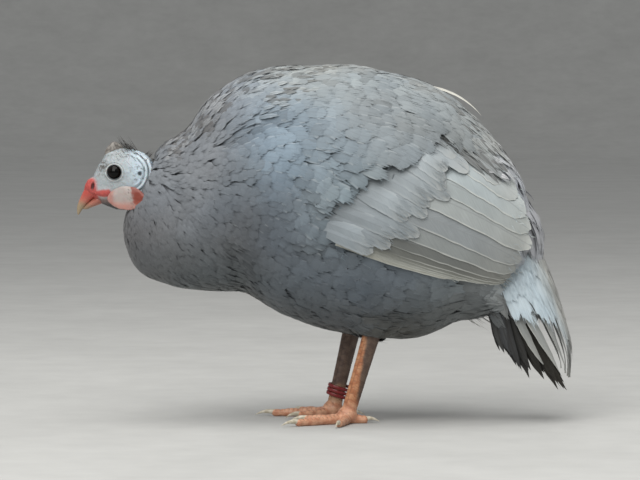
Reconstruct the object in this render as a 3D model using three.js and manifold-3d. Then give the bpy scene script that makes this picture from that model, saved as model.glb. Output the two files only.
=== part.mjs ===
// A guinea fowl, life size, standing with its head drawn in and its tail hanging: the plain grey breed.
// Millimetres, +Z up. The bird looks along -X, its left side is at -Y, and its soles are on Z = 0.
// Most pieces are a sphere pushed into shape by stations: where a body's upper and lower lines pass, and how
// wide it is there. Feathers are thin vanes laid on those shapes in tiers.
import * as THREE from "three";
import { mergeVertices } from "three/addons/utils/BufferGeometryUtils.js";
import Module from "manifold-3d";

const wasm = await Module();
wasm.setup();

// Driving dimensions.
const GAP = 0.35; // between two pieces that touch
const LEFT = -1;
const RIGHT = 1;

// Stations of a body, from tip to tip: x and z of its upper line, x and z of its lower line, half its width.
const TRUNK = [
  [-175, 168, -175, 168, 0],
  [-169, 191, -172, 147, 19],
  [-155, 217, -161, 127, 28],
  [-140, 238, -141, 118, 38],
  [-120, 250.5, -118, 112, 47],
  [-97, 279, -94, 111, 55],
  [-67, 298, -66, 108, 66],
  [-30, 304, -40, 92, 77],
  [10, 303, 0, 78, 84],
  [50, 297, 42, 71, 86],
  [91, 286.5, 80, 71, 79],
  [126, 259.5, 110, 83, 66],
  [155, 226, 136, 90, 50],
  [174, 196, 157, 105, 34],
  [185, 165, 177, 124, 18],
  [188, 145, 188, 145, 0],
];
const TRUNK_WIDEST = -0.12; // height of the widest level, from -1 at the belly to 1 at the back
// The neck parts from the trunk along a plane through these two points of the side view.
const NECK_CUT_TOP = [-104, 278];
const NECK_CUT_LOW = [-78, 109];

// The folded wing in the side view. The last number is how deep its flesh is set into the trunk.
const WING = [
  [-90, 208, -90, 208, 0],
  [-75, 240, -75, 180, 7],
  [-44, 267, -40, 158, 9],
  [3, 279, 8, 144, 9],
  [55, 274, 55, 136, 8],
  [98, 251, 98, 129, 6.5],
  [135, 215, 132, 125, 5],
  [165, 139, 165, 139, 0],
];
const WING_RISE = 0.34; // of the wing's own surface over the trunk's, for each millimetre of depth

// Rows of wing feathers in the side view, each from its lowest feather to its highest one: how many, roots and
// tips of those two, how far their middles bow upwards, their widths, how high their tips lie over the wing, and
// the stretch of their length in which they rise to that. Primaries, secondaries, tertials, two rows of coverts.
const wingRow = (...told) => {
  const [count, roots, tips, bow, width, lift, rise] = told;
  return { count, roots, tips, bow, width, lift, rise };
};
const WING_ROWS = [
  wingRow(3, [[-4, 160], [16, 165]], [[134, 119], [158, 122]], [0, 1], [14, 16], [2.8, 5], [0, 0.3]),
  wingRow(7, [[12, 170], [48, 236]], [[158, 127], [172, 162]], [3, 8], [20, 23], [5.2, 10.6], [0, 0.45]),
  wingRow(2, [[50, 238], [64, 252]], [[170, 180], [155, 200]], [8, 6], [23, 21], [11.8, 13.2], [0, 0.4]),
  wingRow(6, [[-42, 176], [26, 250]], [[22, 150], [92, 212]], [3, 6], [20, 24], [5.4, 11.4], [0, 0.8]),
  wingRow(5, [[-60, 190], [-4, 258]], [[-22, 164], [46, 236]], [3, 5], [20, 24], [4.4, 8.6], [0, 0.85]),
];

// The dome that the tail's feathers lie on: x and z of its ridge, x and z of its side, how far out that lies.
const TAIL_DOME = [
  [164, 172, 138, 130, 24],
  [181, 144, 150, 112, 30],
  [195, 113, 164, 89, 36],
  [206, 82, 180, 65, 39],
  [211, 57, 193, 47, 39],
  [210.5, 40, 200, 37, 37],
];
const RECTRICES = 7; // tail feathers of each side
const RECTRIX_WIDTH = 0.17; // half of it, as a share of the dome from ridge to side
const TAIL_STEP = 0.6; // from a tail feather's face to that of the next one above it
const TAIL_SHINGLE = 3.9; // how much higher its outer edge lies than its inner one
// How far the tail's flesh reaches along the dome, how deep under it it starts, and its own depth as a share.
const TAIL_FLESH = { end: 0.5, depth: 6, under: 0.35 };

const HEAD = [
  [-202, 199, -202, 199, 0],
  [-200, 210, -198, 189, 6.5],
  [-196, 219, -190.5, 185.5, 9.5],
  [-189, 227, -182, 182, 12.5],
  [-177, 232, -172, 181, 15],
  [-164, 232.5, -162, 184, 15.8],
  [-153, 227, -154, 190, 14],
  [-147, 217, -149, 198, 9],
  [-145.5, 208, -145.5, 208, 0],
];
const CASQUE = [
  [-190.5, 229, -190.5, 229, 0],
  [-188, 235, -186, 224, 3.2],
  [-182.5, 239.6, -181, 223, 4.2],
  [-176, 236.5, -176.5, 224, 3.6],
  [-172.5, 230, -172.5, 230, 0],
];
const BEAK_UPPER = [
  [-213.5, 176.5, -213.5, 176.5, 0],
  [-214.3, 183.5, -209, 182.5, 1.9],
  [-211.5, 191.5, -205.5, 186.5, 3.8],
  [-207.5, 199, -200.5, 190.5, 5.4],
  [-200, 205, -194, 193, 6],
  [-194, 200, -194, 200, 0],
];
const BEAK_LOWER = [
  [-209.3, 182.3, -209.3, 182.3, 0],
  [-205, 187, -206, 181.5, 2.6],
  [-200, 191, -200.5, 183.5, 4.4],
  [-194, 193.6, -194, 186, 5.2],
  [-187, 190, -187, 190, 0],
];
const CERE = [
  [-208.5, 197, -208.5, 197, 0],
  [-205.5, 206, -204, 193.5, 5.6],
  [-200, 209.5, -199, 191, 7.6],
  [-196, 209, -195, 190, 8.4],
  [-192, 200, -192, 200, 0],
];
// The last number of a wattle's station is how far out it hangs.
const WATTLE = [
  [-187.5, 191, -187.5, 191, 0, 12],
  [-183, 198, -182, 184.6, 1.9, 14],
  [-173, 201.8, -173, 181.8, 2.2, 17],
  [-163, 200.6, -163, 182.4, 2.1, 20],
  [-156, 195.5, -156, 186, 1.8, 22.5],
  [-151.5, 190.2, -151.5, 190.2, 0, 24.5],
];

const EYE_AT = [-181.4, 213.6]; // x and z of the middle of each eye
const EYE_RADIUS = 6.5;
const EYE_OUT = 9.3; // y of the eyeball's middle
const LID_RADIUS = 5.9;
const LID_THICK = 1.2;
const LID_OUT = 13.9;
const EAR_AT = [-159.4, 212.6];
const NOSTRIL_AT = [-201, 200.5];
const BRISTLES = 14;
const BRISTLE_LENGTH = [8, 14];

// Legs: x and z of the hock and the ankle, and the directions of the toes on the floor in degrees, from straight
// ahead towards the bird's outside.
const LEGS = [
  { side: LEFT, out: 34, hock: [42, 86], ankle: [19, 9], toes: [-12, 34, 78, 182] },
  { side: RIGHT, out: 31, hock: [25, 86], ankle: [7, 9], toes: [-34, 2, 44, 178] },
];
const VANE_THICK = 0.62; // of a feather's vane
const SHINGLE = 1.3; // how much higher a vane's outer edge lies than its inner one
const VANE_SINK = 3; // how deep its root lies in the flesh
const SHANK_DEEP = [7.2, 6.4]; // half its depth at the hock and at the ankle
const SHANK_WIDE = [5.4, 5]; // half its width there
const SHANK_SCUTES = 9;
const TOE_LENGTHS = [39, 55, 42, 17]; // inner, middle and outer toe, and the hind one
const TOE_SCUTES = [6, 8, 7, 3];
const CLAW_LENGTHS = [12, 14, 11, 10];
const TOE_RADIUS = 4.1;
const TOE_HEIGHT = 3.4; // of a toe's axis over the floor
const SCUTE_RISE = 0.55;
const RING_AT = [0.72, 0.87]; // where the leg ring starts and ends, as shares of the shank
const RING_TURNS = 3;
const RING_THICK = 1.5;

// Seeded random numbers, so that the feathers vary and come out alike each time.
function seeded(seed) {
  let state = seed;
  return () => {
    state = (state * 1664525 + 1013904223) % 4294967296;
    return state / 4294967296;
  };
}

const lerp = THREE.MathUtils.lerp;
const radians = THREE.MathUtils.degToRad;

function signedVolume(geometry) {
  const p = geometry.attributes.position;
  const [a, b, c] = [new THREE.Vector3(), new THREE.Vector3(), new THREE.Vector3()];
  let sum = 0;
  for (let i = 0; i < geometry.index.count; i += 3) {
    a.fromBufferAttribute(p, geometry.index.getX(i));
    b.fromBufferAttribute(p, geometry.index.getX(i + 1));
    c.fromBufferAttribute(p, geometry.index.getX(i + 2));
    sum += a.dot(b.cross(c)) / 6;
  }
  return sum;
}

// Keeps only the places of a geometry's corners, joins those that coincide, and turns its faces outwards.
function closed(geometry) {
  geometry.deleteAttribute("normal");
  geometry.deleteAttribute("uv");
  geometry.clearGroups();
  const merged = mergeVertices(geometry, 1e-3);
  if (signedVolume(merged) < 0) merged.index.array.reverse();
  return merged;
}

// A sphere pushed into shape: place(row, angle) gives a point, row running from 0 at one pole to the other.
function blob(around, rows, place) {
  const sphere = new THREE.SphereGeometry(1, around, rows);
  const p = sphere.attributes.position;
  for (let i = 0; i < p.count; i++) {
    const column = (i % (around + 1)) % around;
    p.setXYZ(i, ...place(Math.floor(i / (around + 1)), (2 * Math.PI * column) / around));
  }
  return closed(sphere);
}

// The same shape with each corner moved outwards, for a socket that leaves a gap.
function grown(geometry, by = GAP) {
  const bigger = geometry.clone();
  bigger.computeVertexNormals();
  const p = bigger.attributes.position;
  const n = bigger.attributes.normal;
  for (let i = 0; i < p.count; i++)
    p.setXYZ(i, p.getX(i) + by * n.getX(i), p.getY(i) + by * n.getY(i), p.getZ(i) + by * n.getZ(i));
  bigger.deleteAttribute("normal");
  return bigger;
}

// Shapes are made for the right side, at +Y, and mirrored for the left one.
function onSide(geometry, side) {
  if (side === RIGHT) return geometry;
  const other = geometry.clone().scale(1, -1, 1);
  other.index.array.reverse();
  return other;
}

const bothSides = (geometry) => [geometry, onSide(geometry, LEFT)];

function solid(geometry) {
  return new wasm.Manifold(
    new wasm.Mesh({
      numProp: 3,
      vertProperties: new Float32Array(geometry.attributes.position.array),
      triVerts: new Uint32Array(geometry.index.array),
    }),
  );
}

const joined = (geometries) => wasm.Manifold.union(geometries.map(solid));
const cut = (body, ...tools) => (tools.length ? body.subtract(wasm.Manifold.union(tools)) : body);

function meshed(made) {
  const mesh = made.getMesh();
  const places = new Float32Array(mesh.numVert * 3);
  for (let i = 0; i < mesh.numVert; i++)
    places.set(mesh.vertProperties.subarray(i * mesh.numProp, i * mesh.numProp + 3), i * 3);
  const geometry = new THREE.BufferGeometry();
  geometry.setAttribute("position", new THREE.BufferAttribute(places, 3));
  geometry.setIndex(new THREE.BufferAttribute(new Uint32Array(mesh.triVerts), 1));
  return mergeVertices(geometry, 1e-3);
}

// The largest closed surface of a solid: loose scraps and sealed hollows go.
function largest(made) {
  return made.decompose().sort((a, b) => b.volume() - a.volume())[0];
}

const root = new THREE.Group();

// Rounding a solid's corners to a mesh can part one more scrap, so the largest surface is taken again after it.
function node(name, made, material) {
  const geometry = meshed(largest(solid(meshed(largest(made)))));
  geometry.computeVertexNormals();
  const mesh = new THREE.Mesh(geometry, material);
  mesh.name = name;
  root.add(mesh);
}

// A body told by stations from tip to tip. Its sections join a point of the upper line to one of the lower.
class Body {
  constructor(rows, { widest = 0, squareness = 2 } = {}) {
    this.last = rows.length - 1;
    this.widest = widest;
    this.squareness = squareness;
    const upper = rows.map((r) => new THREE.Vector3(r[0], 0, r[1]));
    const lower = rows.slice(1, -1).map((r) => new THREE.Vector3(r[2], 0, r[3]));
    this.outline = new THREE.CatmullRomCurve3([...upper, ...lower.reverse()], true, "catmullrom", 0.5);
    const widths = rows.map((r, i) => new THREE.Vector3(i, r[4], r[5] ?? 0));
    this.widths = new THREE.CatmullRomCurve3(widths, false, "catmullrom", 0.5);
  }
  upper(k) {
    return this.outline.getPoint(k / (2 * this.last));
  }
  lower(k) {
    return this.outline.getPoint(1 - k / (2 * this.last));
  }
  half(k) {
    return this.widths.getPoint(k / this.last).y;
  }
  profile(c) {
    return Math.sqrt(Math.max(0, 1 - Math.pow(c, this.squareness)));
  }
  // The point at station k: angle 0 is the upper line, a quarter turn the right side, half a turn the lower line.
  point(k, angle) {
    const side = this.widths.getPoint(k / this.last);
    const c = Math.cos(angle);
    const level = this.widest * (1 - c * c) + c;
    const out = side.y * this.profile(Math.abs(c)) * Math.sign(Math.sin(angle));
    const at = this.lower(k).lerp(this.upper(k), (level + 1) / 2);
    return [at.x, side.z + out, at.z];
  }
  geometry(around, rows) {
    return blob(around, rows, (row, angle) => {
      const end = row === 0 || row === rows;
      return this.point((row / rows) * this.last, end ? 0 : angle);
    });
  }
  // Half the body's width at a point of the side view, and 0 outside its outline. Past the share most of its
  // height or the station end it stays as wide as there.
  flank(x, z, { most = 1, end = this.last } = {}) {
    let [low, high] = [0.001, this.last - 0.001];
    const across = (k) => {
      const [t, b] = [this.upper(k), this.lower(k)];
      return (t.x - b.x) * (z - b.z) - (t.z - b.z) * (x - b.x);
    };
    const rising = across(low) < across(high);
    for (let i = 0; i < 30; i++) {
      const k = (low + high) / 2;
      if (across(k) < 0 === rising) low = k;
      else high = k;
    }
    const [t, b] = [this.upper(low), this.lower(low)];
    const level = (2 * ((x - b.x) * (t.x - b.x) + (z - b.z) * (t.z - b.z))) / t.distanceToSquared(b) - 1;
    const w = this.widest;
    const bend = Math.sqrt(Math.max(0, 1 - 4 * w * (level - w)));
    const c = w ? (1 - bend) / (2 * w) : level;
    return this.half(Math.min(low, end)) * this.profile(Math.min(most, Math.abs(c)));
  }
}

// A thin blade. stations hold how far along it is, how wide and how thick, as shares, and place(t, b, up) gives
// the point at t along it, b from -1 to 1 across it and up from 0 on its lower face to 1 on its upper one.
// Both faces are split into triangles alike.
function vane(stations, place) {
  const points = stations.flatMap(([t, wide, thick]) =>
    [[-1, 0], [1, 0], [1, 1], [-1, 1]].flatMap(([b, up]) => place(t, b * wide, up * thick)),
  );
  const last = (stations.length - 1) * 4;
  const index = [0, 1, 2, 0, 2, 3, last, last + 2, last + 1, last, last + 3, last + 2];
  for (let i = 0; i < last; i += 4) {
    const [a, b, c, d] = [i, i + 1, i + 2, i + 3];
    index.push(a, b + 4, b, a, a + 4, b + 4, d, c, c + 4, d, c + 4, d + 4);
    index.push(b, b + 4, c + 4, b, c + 4, c, d, d + 4, a + 4, d, a + 4, a);
  }
  const geometry = new THREE.BufferGeometry();
  geometry.setAttribute("position", new THREE.BufferAttribute(new Float32Array(points), 3));
  geometry.setIndex(index);
  return closed(geometry);
}

function ball([x, y, z], [rx, ry, rz], around = 12, rows = 8) {
  return closed(new THREE.SphereGeometry(1, around, rows).scale(rx, ry, rz).translate(x, y, z));
}

const paint = (color, roughness) => new THREE.MeshStandardMaterial({ color, roughness, metalness: 0 });
const PLUMAGE = paint(0x7d858c, 0.85);
const WING_PLUMAGE = paint(0x8f9aa2, 0.8);
const BARE_SKIN = paint(0xadb3b4, 0.6);
const CASQUE_HORN = paint(0x8a857e, 0.55);
const BEAK_HORN = paint(0xa87a66, 0.45);
const WATTLE_SKIN = paint(0xb8553c, 0.5);
const EYE_GLOSS = paint(0x2a1a12, 0.08);
const SCUTES = paint(0xbe8264, 0.55);
const SCUTES_DARK = paint(0x5a4a40, 0.55);
const CLAW_HORN = paint(0xc0b9a5, 0.4);
const RING_PLASTIC = paint(0x9a2f34, 0.35);

const trunk = new Body(TRUNK, { widest: TRUNK_WIDEST, squareness: 2.15 });
const trunkGeometry = trunk.geometry(26, 22);
const wingOutline = new Body(WING);
const floor = solid(closed(new THREE.BoxGeometry(900, 600, 40).translate(0, 0, -20)));

// The wing's flesh. grow widens it for its socket in the trunk, most of all outwards, where the trunk ends.
function wingCore(grow = 0) {
  const [around, rows] = [10, 12];
  const centre = wingOutline.lower(4).lerp(wingOutline.upper(4), 0.5);
  return blob(around, rows, (row, angle) => {
    const k = (row / rows) * wingOutline.last;
    const at = wingOutline.lower(k).lerp(wingOutline.upper(k), (1 + Math.cos(angle)) / 2);
    at.add(at.clone().sub(centre).setLength(1.6 * grow));
    const swell = Math.sin(angle) * (row === 0 || row === rows ? 0 : 1);
    const deep = wingOutline.half(k) * (swell > 0 ? WING_RISE : 1) + grow * (swell > 0 ? 14 : 2);
    return [at.x, trunk.flank(at.x, at.z) + deep * swell, at.z];
  });
}

// Stations of a feather's vane from root to tip: how far along, how wide and how thick, as shares.
const VANE = [[0, 0.3, 1.5], [0.24, 0.6, 1.2], [0.5, 1, 1], [0.86, 0.88, 0.9], [1, 0.34, 0.8]];

// How far out the side of the wing lies. Past the trunk's edge it goes on flat, and clear of the tail.
function wingSide(x, z) {
  const inside = trunk.flank(x, z, { most: 0.86, end: 13.2 });
  const clear = 29 * THREE.MathUtils.smoothstep(x, 105, 165);
  return Math.max(inside, clear) + WING_RISE * wingOutline.flank(x, z);
}

// One feather lying on the wing, drawn in the side view.
function wingVane({ root, tip, bow, width, lift, sink, rise }) {
  const [dx, dz] = [tip[0] - root[0], tip[1] - root[1]];
  const [nx, nz] = [-dz / Math.hypot(dx, dz), dx / Math.hypot(dx, dz)];
  return vane(VANE, (t, b, up) => {
    const aside = 4 * t * (1 - t) * bow + (b * width) / 2;
    const [x, z] = [root[0] + dx * t + nx * aside, root[1] + dz * t + nz * aside];
    const share = THREE.MathUtils.smoothstep(t, ...rise);
    const height = lerp(sink, lift, share) - (b * SHINGLE) / 2;
    return [x, wingSide(x, z) + height + up * VANE_THICK, z];
  });
}

const between = ([from, to], u) =>
  Array.isArray(from) ? [lerp(from[0], to[0], u), lerp(from[1], to[1], u)] : lerp(from, to, u);

function wingFeathers() {
  const random = seeded(7);
  return WING_ROWS.flatMap(({ count, roots, tips, bow, width, lift, rise }) =>
    Array.from({ length: count }, (_, i) => {
      const u = i / (count - 1);
      const tip = between(tips, u);
      tip[0] += 5 * (random() - 0.5);
      return wingVane({
        root: between(roots, u),
        tip,
        bow: between(bow, u),
        width: between(width, u),
        lift: between(lift, u),
        sink: -VANE_SINK - 0.4 * (1 - u) * (lift[1] - lift[0]),
        rise,
      });
    }),
  );
}

// A point of the tail's dome: t from root to tip, v from the ridge at 0 to a side at 1 or -1, height over it.
const domeCurve = (i, j) =>
  new THREE.CatmullRomCurve3(TAIL_DOME.map((s) => new THREE.Vector3(s[i], 0, s[j])), false, "catmullrom", 0.5);
const [ridge, sideLine] = [domeCurve(0, 1), domeCurve(2, 3)];
const domeHalf = domeCurve(4, 4);
function dome(t, v, height) {
  const [top, low, half] = [ridge.getPoint(t), sideLine.getPoint(t), domeHalf.getPoint(t).x];
  const [c, s] = [Math.cos((v * Math.PI) / 2), Math.sin((v * Math.PI) / 2)];
  const up = top.clone().sub(low);
  const at = low.clone().addScaledVector(up, c);
  at.addScaledVector(up.normalize(), height * c);
  return [at.x, (half + height) * s, at.z];
}

// The flesh of the tail, from inside the trunk to about half the length of its feathers.
function tailCore(grow = 0) {
  const [around, rows] = [12, 8];
  const { end, depth, under } = TAIL_FLESH;
  return blob(around, rows, (row, angle) => {
    const u = row / rows;
    const shrink = row === 0 || row === rows ? 0 : Math.min(1, 2.2 * Math.sqrt(u * (1 - u)));
    const [c, s] = [Math.cos(angle) * shrink, Math.sin(angle) * shrink];
    const half = domeHalf.getPoint(u * end).x;
    const [top, low] = [ridge.getPoint(u * end), sideLine.getPoint(u * end)];
    const up = top.sub(low);
    const high = up.length() - depth + grow;
    const at = low.addScaledVector(up.normalize(), high * c * (c > 0 ? 1 : under));
    return [at.x, (half - depth + grow) * s, at.z];
  });
}

// A feather on the dome, from t[0] at its root to t[1] at its tip, around v from the ridge.
function tailVane({ t: [from, to], v: [root, tip], wide, lift, sink, rise, shingle }) {
  const outward = Math.sign(tip);
  return vane(VANE, (t, b, up) => {
    const share = THREE.MathUtils.smoothstep(t, ...rise);
    const height = lerp(-sink, lift, share) + b * outward * shingle * 0.5;
    return dome(lerp(from, to, t), lerp(root, tip, t) + b * wide, height + up * VANE_THICK);
  });
}

// Steps below the uppermost feather, which lies flat on the ridge over those of both sides.
const topmost = (side, i) => side === RIGHT && i === 0;
const below = (side, i) => (side === LEFT ? i + 1 : i && i + 2) - (topmost(side, i) ? 1.5 : 0);

const sidesOf = (count, make) =>
  [LEFT, RIGHT].flatMap((side) =>
    Array.from({ length: count }, (_, i) => make(side, i, (i + 0.47) / count)),
  );

const tailFeathers = () =>
  sidesOf(RECTRICES, (side, i, v) =>
    tailVane({
      t: [0.14, 1 - 0.02 * i],
      v: [0.75 * v * side, v * side],
      wide: RECTRIX_WIDTH,
      lift: -TAIL_STEP * below(side, i),
      sink: 8 + TAIL_STEP * below(side, i),
      rise: [0.12, 0.42],
      shingle: topmost(side, i) ? 0 : TAIL_SHINGLE,
    }),
  );

// Coverts of the rump that lie over the roots of the tail feathers.
const tailCoverts = () =>
  sidesOf(4, (side, i, v) =>
    tailVane({
      t: [0.02, 0.5 + 0.07 * (i % 2) - 0.02 * i],
      v: [0.9 * v * side, v * side],
      wide: 0.24,
      lift: 5.5 - TAIL_STEP * below(side, i),
      sink: 3 + TAIL_STEP * below(side, i),
      rise: [0, 0.5],
      shingle: topmost(side, i) ? 0 : TAIL_SHINGLE,
    }),
  );

// Long dark coverts under the tail: in the side view from the vent to their tips, and across the bird's middle.
// The outer ones turn their faces sideways.
const UNDER_COVERTS = [
  { root: [146, 101], tip: [150, 55], half: 14 },
  { root: [152, 98], tip: [166, 44], half: 18 },
  { root: [158, 95], tip: [181, 40], half: 21 },
  { root: [164, 93], tip: [199, 33], half: 23 },
];
const UNDER_SPREAD = [-1, -0.34, 0.34, 1];
const UNDER_ROLL = [52, 4, -4, -52]; // degrees
const UNDER_WIDTH = 14;
function underCoverts() {
  const random = seeded(23);
  return UNDER_COVERTS.flatMap(({ root, tip, half }) =>
    UNDER_SPREAD.map((share, i) => {
      const shorter = 1 - 0.1 * random();
      const [c, s] = [Math.cos(radians(UNDER_ROLL[i])), Math.sin(radians(UNDER_ROLL[i]))];
      return vane(VANE, (t, b, up) => {
        const along = t * shorter;
        const [wide, thick] = [(b * UNDER_WIDTH) / 2, up * VANE_THICK];
        const back = wide * s + thick * c - 4 * Math.sin(Math.PI * along * 0.8) + 1.1 * (i % 2);
        const aside = lerp(0.7, 1, t) * share * half + wide * c - thick * s;
        return [lerp(root[0], tip[0], along) + back, aside, lerp(root[1], tip[1], along) + 0.3 * back];
      });
    }),
  );
}

// A limb along straight lines between stations of x, y, z, half its depth along X and half its width along Y.
function limb(stations, around, rows) {
  const curve = (pick) => new THREE.CatmullRomCurve3(stations.map((s, i) => new THREE.Vector3(...pick(s, i))));
  const axis = curve((s) => s.slice(0, 3));
  const size = curve((s, i) => [i, s[3], s[4]]);
  return blob(around, rows, (row, angle) => {
    const [p, r] = [axis.getPoint(row / rows), size.getPoint(row / rows)];
    if (row === 0 || row === rows) return [p.x, p.y, p.z];
    return [p.x + r.y * Math.cos(angle), p.y + r.z * Math.sin(angle), p.z];
  });
}

function thigh({ out, hock: [x, z] }) {
  return limb(
    [
      [x + 14, out + 12, z + 70, 0, 0],
      [x + 10, out + 13, z + 48, 25, 20],
      [x + 5, out + 8, z + 12, 24, 19],
      [x - 2, out + 1, z - 12, 14, 12],
      [x - 4, out, z - 23, 0, 0],
    ],
    12,
    8,
  );
}

// Raised plates across the front of the shank and the top of a toe, every second row.
const plate = (row, rise) => (row % 2 ? rise : 0);

function shank({ out, hock, ankle }) {
  const rows = 2 * SHANK_SCUTES + 2;
  return blob(8, rows, (row, angle) => {
    const t = row / rows;
    const front = Math.max(0, -Math.cos(angle));
    const end = row === 0 || row === rows ? 0 : 1;
    const step = plate(row, SCUTE_RISE) * front;
    const flare = 1 + 0.18 * Math.pow(1 - t, 3);
    const deep = end * (lerp(...SHANK_DEEP, t) * flare + step);
    const wide = end * lerp(...SHANK_WIDE, t) * flare;
    return [
      lerp(hock[0], ankle[0], t) + deep * Math.cos(angle),
      out + wide * Math.sin(angle),
      lerp(hock[1], ankle[1], t) - (end ? 0 : 2 * (0.5 - t)),
    ];
  });
}

// One toe lying on the floor from the ankle. turn is its direction in degrees.
function toe({ out, ankle }, i, turn) {
  const rows = 2 * TOE_SCUTES[i] + 2;
  const length = TOE_LENGTHS[i];
  const [ux, uy] = [-Math.cos(radians(turn)), Math.sin(radians(turn))];
  return blob(6, rows, (row, angle) => {
    const t = row / rows;
    const end = row === 0 || row === rows ? 0 : 1;
    const taper = lerp(1.08, 0.78, t) * Math.min(1, 3.2 * Math.sqrt(t * (1 - t)) + 0.15);
    const up = Math.max(0, Math.cos(angle));
    const knuckle = 0.35 * Math.cos((row / rows) * Math.PI * 2 * 3) * (i === 3 ? 0 : 1);
    const r = end * (TOE_RADIUS * taper + knuckle);
    const side = r * Math.sin(angle);
    const high = TOE_HEIGHT * lerp(1.12, 0.86, t) + r * Math.cos(angle) + end * plate(row, SCUTE_RISE) * up;
    const along = length * t;
    return [ankle[0] + ux * along - uy * side, out + uy * along + ux * side, high];
  });
}

function claw({ out, ankle }, i, turn) {
  const rows = 5;
  const [ux, uy] = [-Math.cos(radians(turn)), Math.sin(radians(turn))];
  return blob(5, rows, (row, angle) => {
    const t = row / rows;
    const r = row === rows || row === 0 ? 0 : 2.5 * Math.pow(1 - t, 0.75);
    const along = TOE_LENGTHS[i] - 4 + (CLAW_LENGTHS[i] + 4) * t;
    const high = 0.9 + 2.6 * (1 - t * t * t) + 0.9 * Math.sin(Math.PI * t);
    const side = 0.8 * r * Math.sin(angle);
    return [ankle[0] + ux * along - uy * side, out + uy * along + ux * side, high + r * Math.cos(angle)];
  });
}

// The leg ring: a flat strip wound round the shank.
function legRing({ out, hock, ankle }) {
  const steps = RING_TURNS * 10;
  const pitch = ((RING_AT[1] - RING_AT[0]) * (hock[1] - ankle[1])) / RING_TURNS;
  const stations = Array.from({ length: steps + 1 }, (_, i) => [i / steps, 1, 1]);
  return vane(stations, (t, b, up) => {
    const share = lerp(RING_AT[0], RING_AT[1], t);
    const turn = t * RING_TURNS * 2 * Math.PI;
    const deep = SHANK_DEEP[1] + SCUTE_RISE + 0.9 + up * RING_THICK;
    const wide = SHANK_WIDE[1] + 1.2 + up * RING_THICK;
    const z = lerp(hock[1], ankle[1], share) - b * pitch * 0.4;
    const at = (hock[1] - z) / (hock[1] - ankle[1]);
    return [lerp(hock[0], ankle[0], at) + deep * Math.cos(turn), out + wide * Math.sin(turn), z];
  });
}

// Head: face and skull, the fleshy base of the bill, a lid round each eye, and holes for the ears and nostrils.
const head = new Body(HEAD, { squareness: 2.3 });
const headFlesh = head.geometry(16, 14);
const lidRing = new THREE.TorusGeometry(LID_RADIUS, LID_THICK, 4, 14).rotateX(Math.PI / 2);
const lid = closed(lidRing.translate(EYE_AT[0], LID_OUT, EYE_AT[1]));
const cere = new Body(CERE).geometry(12, 8);
const eye = ball([EYE_AT[0], EYE_OUT, EYE_AT[1]], [EYE_RADIUS, EYE_RADIUS, EYE_RADIUS], 12, 9);
const ear = ball([EAR_AT[0], 16.5, EAR_AT[1]], [2, 3, 2.4], 6, 4);
const nostril = ball([NOSTRIL_AT[0], 8.6, NOSTRIL_AT[1]], [1.1, 2, 2.6], 6, 4);
const casque = new Body(CASQUE).geometry(10, 7);
const beakUpper = new Body(BEAK_UPPER, { squareness: 2 }).geometry(12, 10);
const beakLower = new Body(BEAK_LOWER, { squareness: 2 }).geometry(10, 8);
const wattle = new Body(WATTLE).geometry(8, 8);

// Thin bristles that stand up from the crown and nape, leaning back.
function crownBristles() {
  const random = seeded(5);
  return Array.from({ length: BRISTLES }, (_, i) => {
    const u = i / (BRISTLES - 1);
    const k = lerp(3.9, 5.5, u);
    const top = new THREE.Vector3(...head.point(k, 0.35 * (i % 2 ? 1 : -1) * (0.4 + random())));
    const back = lerp(-0.15, 0.4, u) + 0.25 * random();
    const lean = new THREE.Vector3(back, 0.5 * (random() - 0.5), 1).normalize();
    const length = lerp(BRISTLE_LENGTH[0], BRISTLE_LENGTH[1], random());
    const spike = new THREE.ConeGeometry(0.8, length, 4, 1).translate(0, length / 2 - 1.6, 0);
    spike.applyQuaternion(new THREE.Quaternion().setFromUnitVectors(new THREE.Vector3(0, 1, 0), lean));
    return closed(spike.translate(top.x, top.y, top.z));
  });
}

const headRaw = joined([headFlesh, cere, ...bothSides(lid), ...crownBristles()]);
const headGrown = solid(grown(headFlesh));

node(
  "head",
  cut(
    headRaw,
    ...[casque, beakUpper, beakLower, ...bothSides(wattle), ...bothSides(eye)].map((g) => solid(grown(g))),
    ...[...bothSides(ear), ...bothSides(nostril)].map(solid),
  ),
  BARE_SKIN,
);
node("casque", solid(casque), CASQUE_HORN);
node("beak_upper", solid(beakUpper), BEAK_HORN);
node("beak_lower", cut(solid(beakLower), solid(grown(beakUpper))), BEAK_HORN);
for (const [name, side] of [["left", LEFT], ["right", RIGHT]]) {
  node("wattle_" + name, solid(onSide(wattle, side)), WATTLE_SKIN);
  node("eye_" + name, solid(onSide(eye, side)), EYE_GLOSS);
}

// Trunk and neck, parted by a slab as thick as the gap.
const parting = new THREE.BoxGeometry(GAP, 400, 400);
const [dx, dz] = [NECK_CUT_TOP[0] - NECK_CUT_LOW[0], NECK_CUT_TOP[1] - NECK_CUT_LOW[1]];
parting.rotateY(Math.atan2(dx, dz));
parting.translate((NECK_CUT_TOP[0] + NECK_CUT_LOW[0]) / 2, 0, (NECK_CUT_TOP[1] + NECK_CUT_LOW[1]) / 2);
const [neckPart, trunkPart] = cut(solid(trunkGeometry), solid(closed(parting)))
  .decompose()
  .sort((a, b) => a.volume() - b.volume())
  .slice(-2);

const trunkGrown = solid(grown(trunkGeometry));
const aroundTailFlesh = trunkGrown.subtract(solid(tailCore()));
const tailMade = cut(joined([tailCore(), ...tailFeathers(), ...underCoverts()]), aroundTailFlesh);
const wingMade = largest(joined([wingCore(), ...wingFeathers()]));
const thighs = LEGS.map((leg) => onSide(thigh(leg), leg.side));
const shanks = LEGS.map((leg) => onSide(shank(leg), leg.side));

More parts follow.
